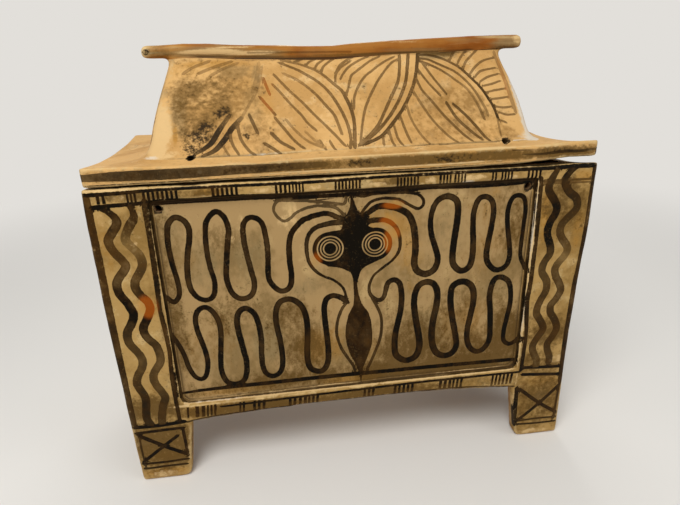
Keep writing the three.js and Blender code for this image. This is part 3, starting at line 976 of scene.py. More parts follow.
octopusHead = [
    (523.5, 692), (527, 672), (532, 654), (538, 640), (542, 631), (552, 632), (559, 625), (557, 612),
    (560, 606), (575, 600), (590, 545), (597, 533), (577, 523.5), (563, 518), (552, 513), (545, 507),
    (540, 500), (537, 490), (534, 478), (524, 478), (522, 492), (518, 502), (508, 508), (499, 513),
    (486, 516.5), (470, 519.5), (455, 530), (460, 560), (475, 600), (499, 602), (503, 612),
    (490, 621.5), (500, 628), (510, 631), (515.7, 641), (520, 652), (520.7, 665), (521.5, 680)]

waves = {  # the wavy bands of the front stiles, left to right
    "half": [5] + [9.2] * 12,
    "tones": (  # along each band, top to bottom
        (0.3, 0.35, 0.6, 0.65, 0.3, 0.15, 0.1, 0.35, 0.4, 0.45, 0.3, 0.35),
        (0.3, 0.4, 0.6, 0.65, 0.5, 0.2, 0.1, 0.3, 0.45, 0.5, 0.4, 0.45),
        (0.4, 0.35, 0.2, 0.1, 0.1, 0.35, 0.4, 0.45, 0.6, 0.5, 0.4, 0.5),
        (0.1, 0.2, 0.35, 0.4, 0.4, 0.5, 0.45, 0.4, 0.5, 0.6, 0.5, 0.55),
    ),
    "bodies": (
        (0.95, 0.95, 0.9, 0.9, 0.92, 0.98, 0.98, 0.9, 0.85, 0.9, 0.92, 0.9),
        (0.95, 0.95, 0.45, 0.85, 0.9, 0.98, 0.98, 0.95, 0.85, 0.85, 0.85, 0.8),
        (0.9, 0.92, 0.96, 0.98, 0.95, 0.85, 0.85, 0.9, 0.9, 0.9, 0.85, 0.6),
        (0.98, 0.95, 0.85, 0.8, 0.88, 0.6, 0.9, 0.9, 0.9, 0.9, 0.9, 0.85),
    ),
    "lines": [
        [(27, 682), (41, 674), (52, 660), (51, 647), (41, 633), (31, 619), (30, 608), (36, 591),
         (47, 574), (54, 560), (49, 549), (37, 535), (30, 522), (29, 508), (33, 494), (44, 474),
         (49, 458), (51, 447), (44, 427), (33, 410), (29, 394), (33, 374), (47, 350), (51, 332),
         (47, 315), (35, 295), (30, 277), (34, 260), (40, 245), (42, 230), (39, 207), (36, 180),
         (42, 162)],
        [(82, 685), (87, 669), (86, 658), (76, 644), (66, 627), (63, 613), (72, 599), (83, 583),
         (87, 569), (86, 555), (76, 538), (67, 524), (65, 508), (72, 491), (83, 477), (87, 461),
         (83, 447), (74, 430), (66, 416), (66, 399), (74, 383), (86, 366), (90, 337), (85, 320),
         (72, 302), (67, 285), (71, 265), (80, 247), (85, 230), (77, 210), (70, 180), (68, 164)],
        [(974, 710), (970, 703), (963, 691), (957, 672), (960, 658), (972, 641), (981, 624), (979, 608),
         (970, 591), (966, 574), (967, 558), (975, 538), (979, 524), (978, 511), (968, 494), (964, 480),
         (966, 466), (977, 449), (981, 433), (979, 416), (970, 397), (964, 377), (964, 360), (970, 350),
         (982, 330), (985, 315), (975, 297), (965, 277), (965, 262), (972, 245), (979, 230),
         (980, 215)],
        [(1016, 711), (1004, 703), (993, 688), (995, 672), (1007, 655), (1024, 641), (1029, 624),
         (1024, 611), (1007, 594), (997, 580), (996, 563), (1004, 547), (1017, 530), (1020, 516),
         (1013, 502), (1002, 488), (996, 472), (1002, 452), (1013, 433), (1017, 416), (1007, 394),
         (997, 380), (999, 360), (1006, 350), (1017, 330), (1020, 312), (1012, 292), (1002, 275),
         (1004, 257), (1012, 237), (1012, 222)],
    ],
}

bars = {  # short bars on the rails: first, last and how many in each group
    "rim": ((26, 36, 2), (81, 95, 3), (112, 174, 8), (245, 291, 6), (370, 388, 3), (397, 424, 5),
            (491, 541, 8), (621, 664, 7), (713, 734, 4), (745, 766, 4), (827, 834, 2), (848, 869, 4),
            (907, 933, 4)),
    "bottom": ((128, 128, 1), (149, 163, 2), (173, 190, 3), (248, 256, 2), (281, 303, 3), (365, 376, 2),
               (389, 401, 2), (410, 430, 3), (544, 565, 3), (619, 662, 5), (733, 757, 3), (766, 786, 3),
               (867, 886, 3), (896, 916, 3)),
    "endRim": [(u, u + 40, 5) for u in (26, 130, 214, 298, 400)],
    "endBottom": [(u, u + 36, 4) for u in (128, 216, 300)],
    "rimHeights": (691, 710),
    "bottomHeights": (168, 198),
    "lean": 0.09,  # sideways for each mm up, on the bottom rail
}

lines = [  # frame lines and feet on the front
    ([4, 4, 3, 3, 3.2, 3.2, 3, 3.4, 3.4, 3.8, 4.8, 5.4], 0.06, 1.0, [
        (2, 710), (60, 710.5), (150, 713), (270, 712.5), (340, 711.5), (450, 711), (600, 713),
        (690, 713), (790, 713), (880, 712), (1000, 712), (1058, 713)]),
    # the black lines along the rim rail's lower edge are paint, with the shade under the rail painted in
    ([5.5, 4, 4, 5, 4, 4.6, 4.6, 3.6, 2.6, 3.4, 4.6, 4.6, 4.2, 5.2, 4],
     0.06, [1, 1, 1, 1, 1, 1, 1, 1, 0.8, 1, 1], [
        (2, 684), (60, 687), (118, 688), (150, 690), (210, 688), (270, 690.5), (340, 687.5), (400, 686),
        (450, 685), (580, 684.5), (640, 686), (690, 687.5), (790, 685), (880, 687), (928, 688)]),
    ([3.5, 3.5, 4, 4.5, 4.5, 4, 4.5, 5.5, 4], 0.06, 1.0, [
        (118, 682), (210, 682), (340, 681), (450, 677), (580, 677), (690, 681), (790, 678.5),
        (880, 680), (928, 683)]),
    (9, [0.7, 0.6, 0.65, 0.5, 0.35, 0.3], 0.94, [
        (3, 700), (3, 600), (3, 500), (2.5, 400), (2.5, 300), (3, 165)]),
    ([5.5, 5.5, 5.5, 5.5, 4.5, 5.5, 4.2, 4.6, 4.6, 4.6],
     [0.3, 0.35, 0.3, 0.2, 0.2, 0.5, 0.5, 0.35, 0.35, 0.3], 0.95, [
        (110.5, 690), (110, 600), (109, 550), (108, 500), (106, 450), (110, 400), (111, 350),
        (107.5, 300), (106.5, 240), (108, 165)]),
    ([1.6, 2.6, 2.8, 3, 3], 0.05, 1.0, [
        (118.5, 480), (117.5, 440), (118, 400), (117, 350), (116, 230)]),
    ([4, 5.5, 4.4, 5.2, 5.4, 5.4, 5.4, 4.4, 5, 5],
     [0.3, 0.2, 0.3, 0.1, 0.35, 0.35, 0.1, 0.3, 0.25, 0.1], 0.95, [
        (938, 690), (940, 600), (941, 550), (940.5, 500), (940, 450), (937, 400), (940, 350),
        (944, 300), (943, 260), (941.5, 205)]),
    ([5, 5, 6, 6.5, 7, 7, 7, 6.5, 6.5, 6.5],
     [0.3, 0.4, 0.4, 0.4, 0.45, 0.45, 0.3, 0.3, 0.4, 0.4], 0.94, [
        (1058, 706), (1058, 600), (1057, 540), (1055, 480), (1051, 430), (1050, 380), (1049, 330),
        (1048, 280), (1049, 230), (1051, 160)]),
    (2.0, 0.7, 0.8, [(946, 684), (1000, 684), (1052, 683)]),
    (2.0, 0.8, 0.7, [(946, 678), (1000, 677), (1052, 676)]),
    ([3, 4.4, 5.4, 5.4, 5.4, 5], 0.1, 0.98, [
        (118, 229), (180, 232), (300, 233.5), (537, 234), (760, 232), (926, 229)]),
    ([2.4, 2.8, 3, 3.2, 3.2, 3], 0.1, 0.96, [
        (206, 190.5), (260, 192), (350, 194.5), (600, 200), (800, 200.5), (936, 200)]),
    (2.8, 0.45, 0.85, [(124, 158), (200, 166), (350, 171), (600, 174), (800, 171), (925, 158)]),
    (5.0, 0.08, 0.97, [(4, 158), (60, 156.5), (118, 160)]),
    (3.8, 0.15, 0.95, [(6, 141), (60, 142), (114, 143)]),
    (5.2, 0.06, 0.98, [(12, 133), (62, 97), (112, 66)]),
    (4.2, 0.12, 0.95, [(97, 122), (62, 96), (10, 57)]),
    (3.8, 0.2, 0.94, [(112, 143), (113, 100), (114, 62)]),
    (2.4, 0.3, 0.85, [(12, 134), (11, 90), (13, 38)]),
    (3.2, 0.2, 0.92, [(8, 51), (60, 49.5), (112, 52)]),
    (3.0, 0.25, 0.9, [(10, 36), (60, 37), (108, 37)]),
    (4.4, 0.15, 0.95, [(947, 211), (1050, 204)]),
    (4.6, 0.1, 0.97, [(947, 191), (1050, 181)]),
    (4.8, 0.2, 0.95, [(944, 148), (1000, 100), (1050, 65)]),
    (4.6, 0.2, 0.94, [(1051, 150), (1002, 99), (946, 50)]),
    (5.0, 0.12, 0.95, [(936, 152), (938, 90), (940, 34)]),
    (3.4, 0.35, 0.9, [(1050, 150), (1048, 90), (1046, 46)]),
    (2.8, 0.3, 0.88, [(944, 49), (1000, 51), (1052, 49)]),
    (2.9, 0.2, 0.92, [(940, 39), (1000, 36), (1052, 36)]),
]

lidEdge = [  # front edge of the lid
    ([1.6, 2.6, 3.2, 3, 2.4], 0.15, [0.4, 0.7, 0.8, 0.75, 0.5], [
        (890, 744), (930, 743), (980, 746), (1020, 745), (1054, 748)]),
    (1.6, 0.5, [0.7, 0.5, 0.2], [(866, 754), (900, 753), (935, 752)]),
    (2.8, 0.05, 0.97, [
        (2, 726), (300, 725.5), (620, 724.5), (800, 724.5), (900, 726), (960, 729), (1054, 734)]),
    ([7, 9.5, 10, 10, 9.5, 8.5, 7, 5], 0.14, [0.76, 0.86, 0.87, 0.84, 0.82, 0.74, 0.54, 0.3], [
        (4, 743), (70, 743.5), (140, 743), (210, 743), (280, 744), (350, 744), (410, 745), (470, 746)]),
]

roof = [
    # left leaf, from its right edge inwards
    ([3.4, 3.6, 4.2, 3.6], [0.8, 0.8, 0.6, 0.7], [0.6, 0.7, 0.8, 0.75], [
        (402, 244), (441, 232), (473, 216), (495, 197), (514, 173), (529, 155), (537, 132), (544, 106),
        (547, 74), (545, 42), (541, 6)]),
    (3.6, 0.8, 0.72, [
        (399, 236), (431, 219), (457, 200), (479, 181), (499, 155), (512, 129), (525, 94), (533, 61),
        (535, 28), (531, 6)]),
    (3.4, 0.9, [0.45, 0.65, 0.75, 0.6], [
        (405, 206), (431, 190), (454, 168), (473, 145), (489, 119), (505, 94), (512, 68), (517, 44)]),
    (3.2, 0.9, 0.66, [
        (384, 203), (402, 177), (418, 155), (441, 126), (463, 94), (483, 68), (502, 42), (521, 13)]),
    (3.0, 0.9, 0.66, [(379, 177), (395, 155), (415, 123), (434, 97), (447, 74), (463, 55)]),
    (3.2, 1, 0.75, [(360, 194), (366, 171), (371, 152)]),
    (3.2, 1, 0.75, [(350, 145), (360, 129), (379, 100)]),
    (3.2, 0.85, 0.7, [(379, 90), (399, 58), (418, 29), (434, 12)]),
    (3.0, 0.95, 0.5, [(402, 84), (421, 55), (444, 29), (473, 10)]),
    (2.8, 0.95, 0.4, [(441, 52), (460, 28), (478, 12)]),
    # the soot-blackened leaf at the left end
    ([4.4, 4, 3.6], 0.5, 0.72, [(370, 52), (386, 32), (412, 12)]),
    (3.6, 0.45, 0.75, [(354, 29), (370, 16), (384, 2)]),
    (3.6, 0.5, 0.7, [(325, 100), (334, 74), (340, 56)]),
    (3.4, 0.5, 0.66, [(299, 78), (305, 42), (321, 13), (331, 3)]),
    (3.2, 0.5, 0.66, [(283, 61), (287, 32), (299, 6)]),
    (2.6, 0.6, 0.55, [(270, 24), (279, 4)]),
    ([4.5, 6, 6, 5, 4], 0.15, [0.6, 0.9, 0.92, 0.9, 0.7], [
        (283, 100), (262, 67), (246, 38), (231, 24), (213, 12)]),
    ([5, 6, 6.5, 5.5, 4.5], 0.12, [0.6, 0.9, 0.92, 0.85, 0.75], [
        (308, 94), (287, 68), (270, 40), (250, 17), (228, 5)]),
    (3.4, 0.7, 0.32, [(312, 100), (344, 164), (358, 226)]),
    (4.0, 1, 0.5, [(189, 214), (208, 228), (244, 244)]),
    (4.0, 1, 0.5, [(221, 213), (254, 228), (292, 243)]),
    (3.8, 1, 0.42, [(247, 206), (273, 223), (305, 238)]),
    (4.0, 1, 0.28, [(335, 160), (346, 200), (352, 236)]),
    # right leaf, from its left edge inwards
    (3.6, 0.6, 0.75, [
        (552, 13), (585, 45), (601, 65), (617, 94), (639, 135), (659, 174), (668, 210), (673, 244)]),
    (3.8, 0.55, 0.8, [
        (555, 13), (597, 48), (623, 77), (646, 110), (665, 145), (678, 177), (686, 210), (694, 248)]),
    (4.0, [0.3, 0.4, 0.5, 0.3], [0.9, 0.85, 0.8, 0.92], [
        (563, 14), (601, 32), (626, 58), (655, 94), (675, 126), (691, 158), (704, 194), (714, 235),
        (717, 250)]),
    # half leaf at the right end
    (3.4, [0.4, 0.5, 0.3, 0.25, 0.2], [0.75, 0.75, 0.85, 0.9, 0.9], [
        (718, 246), (746, 243), (775, 231), (797, 216), (814, 200), (830, 177), (846, 152), (859, 119),
        (867, 90), (870, 61)]),
    (2.2, 0.6, 0.5, [(868, 61), (867, 38), (866, 18)]),
    (3.2, 0.55, [0.8, 0.75, 0.6, 0.5], [
        (720, 235), (739, 231), (765, 215), (794, 197), (814, 174), (830, 145), (839, 119), (846, 94),
        (849, 74)]),
    (3.2, 0.6, [0.8, 0.7, 0.4, 0.7], [
        (720, 227), (746, 213), (772, 194), (794, 171), (814, 148), (826, 119), (833, 94), (838, 65)]),
    (3.0, 0.6, 0.7, [(710, 206), (726, 171), (749, 132)]),
    (3.0, 0.6, 0.72, [(723, 223), (739, 187), (764, 135)]),
    (3.2, 0.65, 0.7, [(702, 181), (710, 148), (726, 119), (746, 81), (765, 52), (785, 23), (797, 8)]),
    (3.6, 0.45, 0.75, [(760, 110), (775, 71), (797, 39), (820, 11)]),
    (3.6, 0.45, 0.78, [(775, 106), (794, 81), (810, 55), (828, 20), (836, 6)]),
    (3.0, 0.75, 0.6, [(688, 152), (701, 113), (720, 68), (743, 32), (765, 5)]),
    (2.8, 0.75, 0.55, [(668, 112), (673, 72), (685, 38), (702, 6)]),
    ([4, 5, 5, 4], 1, 0.5, [(901, 246), (905, 215), (911, 160), (913, 110), (915, 80)]),
    (4.0, 0.7, 0.3, [(560, -2), (700, -3), (860, -2)]),
]

hatches = [  # the finer strokes between the leaves: tone, then points
    (0.7, [
        (554, 16), (562, 55), (572, 94), (585, 126), (604, 161), (620, 187), (649, 223), (668, 235)]),
    (0.75, [(551, 106), (555, 135), (568, 165), (585, 190), (604, 206), (630, 226), (659, 242)]),
    (0.8, [(539, 145), (546, 165), (555, 194), (568, 206), (601, 232), (626, 245)]),
    (0.75, [(530, 187), (539, 203), (552, 219), (575, 235), (601, 247)]),
    (0.8, [(520, 203), (533, 226), (549, 239), (568, 248)]),
    (0.85, [(518, 181), (521, 200), (534, 219), (557, 235)]),
    (0.8, [(489, 206), (495, 223), (512, 239), (525, 247)]),
    (0.85, [(476, 219), (483, 232), (499, 244)]),
    (0.8, [(457, 229), (466, 239), (479, 245)]),
    (0.85, [(431, 239), (454, 247)]),
    (0.65, [(789, 226), (801, 248), (823, 268)]),
    (0.6, [(805, 215), (817, 235), (843, 265)]),
    (0.6, [(817, 203), (830, 226), (865, 258)]),
    (0.55, [(830, 187), (846, 206), (868, 223), (896, 231)]),
    (0.55, [(839, 177), (857, 194), (894, 202)]),
    (0.55, [(850, 165), (870, 177), (897, 185)]),
    (0.5, [(856, 153), (877, 158), (897, 165)]),
    (0.55, [(859, 135), (881, 140), (907, 144)]),
    (0.5, [(866, 116), (881, 117), (907, 121)]),
    (0.5, [(871, 96), (888, 92), (907, 94)]),
    (0.55, [(875, 81), (891, 73), (910, 73)]),
    (0.6, [(873, 60), (885, 53)]),
    (0.65, [(649, 87), (655, 48), (663, 13)]),
    (0.7, [(633, 55), (636, 26), (644, 6)]),
    (0.7, [(620, 48), (622, 23), (626, 6)]),
    (0.75, [(605, 35), (604, 10)]),
    (0.8, [(470, 28), (474, 16), (480, 3)]),
    (0.85, [(490, 26), (494, 14), (499, 3)]),
]

# Marks of the kiln, of age and of mending, with painted shade and painted highlights, for each face:
# kind, then middle (u, v), half sizes and strength of each
markTable = {
    "front": {
        "rust": (
            (62, 122, 26, 14, 0.4), (614, 648, 22, 9, 1), (608, 612, 22, 14, 1),
            (616, 585, 15, 16, 0.9), (604, 566, 10, 26, 1), (446, 535, 14, 18, 0.7),
            (82, 462, 18, 24, 1.2)),
        "gold": (
            (146, 184, 18, 14, 0.9), (60, 22, 50, 10, 0.8), (70, 70, 50, 16, 0.6),
            (600, 600, 70, 55, 0.5), (520, 222, 70, 10, 0.8), (430, 320, 36, 50, 0.6),
            (480, 330, 22, 50, 0.5), (225, 223, 110, 9, 0.5), (640, 540, 50, 60, 0.4),
            (830, 668, 34, 14, 0.4), (180, 185, 70, 18, 0.5), (1000, 170, 50, 22, 0.5),
            (1040, 120, 20, 90, 0.4), (1040, 570, 16, 60, 0.5), (660, 222, 100, 9, 0.4),
            (22, 600, 14, 70, 0.4), (660, 440, 40, 30, 0.3), (810, 370, 30, 50, 0.35),
            (560, 300, 30, 40, 0.3), (956, 610, 12, 60, 0.7), (235, 701, 26, 8, 0.9),
            (1035, 690, 26, 14, 0.6), (60, 260, 20, 70, 0.3)),
        "grey": (
            (330, 340, 34, 42, 0.9), (700, 330, 55, 60, 0.6), (780, 224, 110, 9, 0.9),
            (240, 340, 40, 60, 0.5), (420, 470, 50, 26, 0.5), (860, 400, 55, 80, 0.4),
            (200, 540, 55, 70, 0.5), (750, 570, 55, 60, 0.45), (140, 224, 40, 9, 0.4),
            (1000, 640, 40, 40, 0.4), (150, 600, 30, 60, 0.45), (300, 560, 40, 50, 0.45),
            (900, 560, 40, 60, 0.3), (150, 694, 50, 7, 0.8), (110, 640, 12, 40, 0.3),
            (1000, 645, 20, 30, 0.5), (190, 300, 60, 60, 0.5), (470, 702, 30, 6, 0.4)),
        # the large stains over the panel's right and lower parts are partly painted shade, darker
        # towards the right and the bottom
        "stainAndShade": (
            (55, 20, 60, 16, 0.4), (956, 110, 16, 90, 0.4), (150, 690, 40, 5, 0.7),
            (850, 560, 90, 110, 0.34), (820, 340, 120, 80, 0.4), (200, 330, 80, 80, 0.32),
            (160, 560, 40, 60, 0.3), (440, 400, 60, 60, 0.25)),
        # on the rim these are painted shadow of the lid; over the bottom rail, feet and lower panel,
        # earth with painted shade, darker towards the bottom
        "umberAndShade": (
            (150, 702, 150, 11, 0.62), (615, 702, 40, 9, 0.65), (950, 703, 40, 10, 0.4),
            (260, 181, 170, 18, 0.9), (560, 184, 190, 18, 0.82), (860, 184, 80, 12, 0.36),
            (60, 100, 90, 80, 0.8), (1000, 110, 80, 80, 0.58), (60, 205, 70, 40, 0.75),
            (660, 290, 80, 90, 0.74), (385, 400, 56, 50, 0.55), (250, 600, 50, 40, 0.42),
            (800, 262, 100, 60, 0.62), (895, 300, 56, 90, 0.78), (410, 320, 60, 100, 0.6),
            (380, 240, 150, 26, 0.66), (720, 236, 270, 32, 0.84), (895, 600, 40, 100, 0.52),
            (270, 238, 110, 22, 0.45), (128, 420, 26, 240, 0.52), (1000, 630, 60, 60, 0.66),
            (1000, 310, 60, 50, 0.62), (260, 420, 70, 60, 0.38), (537, 222, 420, 9, 0.5),
            (1000, 210, 60, 36, 0.62), (770, 400, 50, 50, 0.4)),
        # the pale mark on the rim's top arris is partly a painted highlight
        "paleAndHighlight": (
            (20, 718, 60, 5, 0.6), (1000, 12, 50, 9, 0.5), (60, 16, 50, 12, 0.4),
            (78, 606, 10, 8, 0.45), (24, 660, 10, 20, 0.4), (1030, 228, 22, 14, 0.5),
            (932.5, 450, 3, 260, 0.9), (410, 625, 50, 40, 0.4), (340, 700, 20, 6, 0.55),
            (450, 700, 16, 6, 0.45), (580, 698, 20, 6, 0.5), (690, 701, 16, 7, 0.5),
            (790, 701, 28, 7, 0.55), (870, 698, 18, 6, 0.5), (960, 698, 16, 6, 0.4),
            (65, 700, 14, 7, 0.4), (160, 202.5, 60, 3.4, 0.9), (260, 204, 70, 3.4, 0.9),
            (370, 206, 70, 3.4, 0.9), (500, 208.5, 90, 3.4, 0.9), (650, 210, 90, 3.4, 0.9),
            (820, 210.5, 120, 3.4, 0.9), (930, 60, 5, 70, 0.8), (270, 620, 60, 40, 0.34)),
        "limeAndHighlight": (
            (932.5, 590, 2.6, 80, 0.75), (932.5, 360, 2.6, 60, 0.6), (775, 692, 14, 3, 0.7),
            (190, 202.5, 70, 2.8, 0.5), (420, 207, 90, 2.8, 0.4)),
    },
    "reveal": {
        "paleAndHighlight": ((929, 450, 3, 400, 0.9), (537, 211, 600, 2.6, 0.9)),
        "limeAndHighlight": ((929, 590, 2.8, 90, 0.9), (929, 350, 2.8, 70, 0.7), (200, 211, 80, 2.4, 0.5)),
    },
    "lidFront": {
        # umber along the lid's front edge: painted shade, with earth
        "umberAndShade": (
            (150, 743, 190, 15, 0.5), (420, 745, 160, 12, 0.74), (620, 744, 140, 12, 0.9),
            (860, 744, 160, 12, 0.78), (985, 744, 90, 14, 0.85), (740, 744, 70, 13, 0.75)),
        "sootAndShade": (
            (540, 745, 34, 6, 0.5), (730, 744, 34, 7, 0.5), (985, 747, 50, 4, 0.45),
            (350, 744, 60, 6, 0.4)),
        "gold": ((450, 744, 120, 10, 0.6), (800, 744, 134, 12, 0.8), (980, 744, 80, 8, 0.6)),
        # the pale lines along the lid's upper and lower arrises are painted highlights
        "paleAndHighlight": (
            (530, 760, 560, 2.6, 0.7), (620, 733, 330, 2, 0.7), (225, 744, 6, 5, 0.6),
            (1044, 744, 12, 6, 0.4)),
    },
    "joint": {  # painted shadow of the gap under the lid's front edge, laid black over the rim's top and the lid's underside
        "sootAndShade": ((500, 720, 3000, 3000, 1.5),),
    },
    "plate": {
        # the big whitish marks at the plate's right end are partly plaster, partly a painted highlight
        "limeAndHighlight": (
            (1000, 30, 90, 60, 1.1), (915, 44, 50, 16, 0.9), (150, 50, 30, 10, 0.5),
            (500, 46, 60, 6, 0.4)),
        "paleAndHighlight": ((900, 30, 60, 16, 0.5), (60, 30, 60, 14, 0.3)),
        "grey": (
            (110, 36, 40, 12, 0.6), (330, 42, 170, 9, 0.7), (760, 42, 120, 9, 0.8),
            (560, 44, 80, 8, 0.5)),
        "gold": ((160, 20, 60, 16, 0.3), (700, 16, 120, 12, 0.3)),
    },
    "roof": {
        "stainAndShade": (
            (250, 140, 100, 70, 0.55), (300, 205, 45, 30, 0.45), (790, 118, 60, 34, 0.6),
            (770, 70, 110, 80, 0.4), (285, 40, 40, 40, 0.35), (345, 60, 40, 60, 0.4),
            (230, 90, 50, 50, 0.5), (890, 30, 30, 30, 0.4), (185, 150, 26, 60, 0.5)),
        "grey": (
            (235, 130, 80, 74, 0.42), (180, 125, 20, 70, 0.7), (300, 215, 40, 22, 0.6),
            (330, 120, 26, 60, 0.5), (760, 244, 40, 12, 0.9), (330, -3, 190, 8, 0.9),
            (770, -3, 130, 7, 1), (600, 140, 50, 60, 0.25), (130, 20, 40, 10, 0.3),
            (345, 200, 14, 40, 0.5)),
        "umberAndShade": (
            (768, 248, 36, 9, 0.85), (220, 60, 50, 46, 0.5), (180, 120, 20, 50, 0.46),
            (235, 150, 64, 60, 0.36), (268, 112, 22, 16, 0.5), (560, 0, 340, 5, 0.4)),
        "sootAndShade": (
            (205, 22, 22, 16, 0.6), (222, 50, 24, 16, 0.66), (236, 72, 18, 12, 0.5),
            (268, 108, 14, 11, 0.62), (318, 50, 7, 8, 0.6), (368, 66, 5, 8, 0.4), (600, 3, 90, 4, 0.35),
            (430, 2, 80, 4, 0.3)),
        "gold": (
            (250, 236, 90, 12, 0.6), (320, 150, 50, 60, 0.35), (200, 226, 60, 30, 0.4),
            (172, 60, 5, 26, 0.95), (860, 40, 40, 40, 0.35), (250, 110, 50, 30, 0.4),
            (600, 90, 60, 80, 0.25)),
        "rust": ((908, 180, 7, 90, 0.6), (366, 145, 18, 60, 0.75)),
        "paleAndHighlight": (
            (138, 66, 26, 80, 0.85), (150, 14, 40, 12, 0.6), (930, 60, 14, 60, 0.6),
            (945, 15, 30, 26, 0.9), (450, 3, 110, 5, 0.5), (600, 4, 90, 5, 0.5),
            (358, 214, 10, 30, 0.4), (160, 222, 12, 30, 0.4)),
        # the whitish marks at the roof's right end are partly plaster, partly a painted highlight
        "limeAndHighlight": (
            (930, 110, 9, 160, 0.8), (950, 10, 34, 24, 0.95), (120, 6, 26, 8, 0.5),
            (330, 2, 60, 4, 0.4)),
    },
    "gable": {
        "paleAndHighlight": ((48, 850, 40, 120, 0.8), (419, 850, 40, 120, 0.4)),
        "grey": ((200, 860, 90, 60, 0.5),),
        "stainAndShade": ((330, 830, 60, 50, 0.4),),
    },
    "bar": {
        "rust": ((178, 962, 26, 30, 0.9), (530, 960, 120, 40, 0.45), (820, 960, 120, 40, 0.3)),
        "grey": (
            (250, 962, 90, 14, 0.7), (370, 958, 60, 12, 0.6), (480, 956, 60, 8, 0.5),
            (935, 962, 40, 16, 0.7), (700, 956, 90, 6, 0.45), (820, 974, 60, 5, 0.5)),
        "paleAndHighlight": (
            (102, 968, 9, 20, 0.8), (250, 964, 60, 5, 0.8), (340, 959, 60, 4, 0.75),
            (300, 972, 70, 2, 0.6), (430, 972, 60, 2, 0.6), (958, 974, 16, 12, 0.5),
            (640, 974, 120, 4, 0.4)),
        "limeAndHighlight": ((98, 968, 7, 18, 0.6),),
        "sootAndShade": ((111, 966.5, 6, 6, 1.2),),
        # the umber low on the bar, at about 950 mm, is painted shadow under it
        "umberAndShade": (
            (140, 960, 26, 18, 0.4), (940, 952, 50, 8, 0.7), (620, 950, 200, 4, 0.6),
            (300, 950, 120, 4, 0.4)),
        "gold": ((330, 960, 130, 20, 0.5),),
    },
}


# The faces out of the photo's view are guesses in the same hand: waves, bars and tentacle loops
def meander(u0, u1, v0, v1, loops, steps=12, lean=0.07, square=1.7):
    t = np.linspace(0, loops, loops * steps + 1)
    step = (u1 - u0) / loops
    u = u0 + step * (t + lean * np.sin(4 * np.pi * t))
    v = (v0 + v1) / 2 + (v1 - v0) / 2 * np.tanh(square * np.sin(2 * np.pi * t)) / np.tanh(square)
    return list(zip(u, v))


def wavy(u, v0, v1, width, length, phase, steps=8):
    v = np.arange(v0, v1, length / steps)
    return list(zip(u + width * np.sin(2 * np.pi * v / length + phase), v))


def rounded(points, looks, steps=4):
    # A smooth line through the given points, and its half width, tone and strength along it
    line = curve = np.array(points, float)
    if len(line) > 2:
        p = np.vstack([2 * line[0] - line[1], line, 2 * line[-1] - line[-2]])
        t = (np.arange(steps) / steps)[None, :, None]
        a, b, c, d = (p[i:len(p) - 3 + i, None] for i in range(4))
        curve = 2 * b + (c - a) * t + (2 * a - 5 * b + 4 * c - d) * t ** 2
        curve = 0.5 * (curve + (3 * b - a - 3 * c + d) * t ** 3)
        curve = np.vstack([curve.reshape(-1, 2), line[-1]])
    share = np.linspace(0, 1, len(curve))
    spread = [np.interp(share, np.linspace(0, 1, np.size(look)), np.atleast_1d(look)) for look in looks]
    return curve, np.stack(spread, 1)


reach = 14.0  # mm round a stroke in which its distance is worked out
deep = 30.0  # mm, the most that a filled shape's inside is told apart
# Away from every stroke: distance to an edge, place across, half width, tone and strength
unpainted = [reach, reach, 0.0, 0.4, 1.0]
meeting = {  # mm: where two strokes meet
    "near": 0.7 * reach,  # both edges are nearer than this
    "alike": 5,  # and their distances differ by less than this
}
stretch = 10  # steps of a stroke that are measured in one go
tiny = 1e-9


def within(points, line, edge):
    # Which points lie in the box round a line, widened on each side
    return np.nonzero(((points > line.min(0) - edge) & (points < line.max(0) + edge)).all(1))[0]


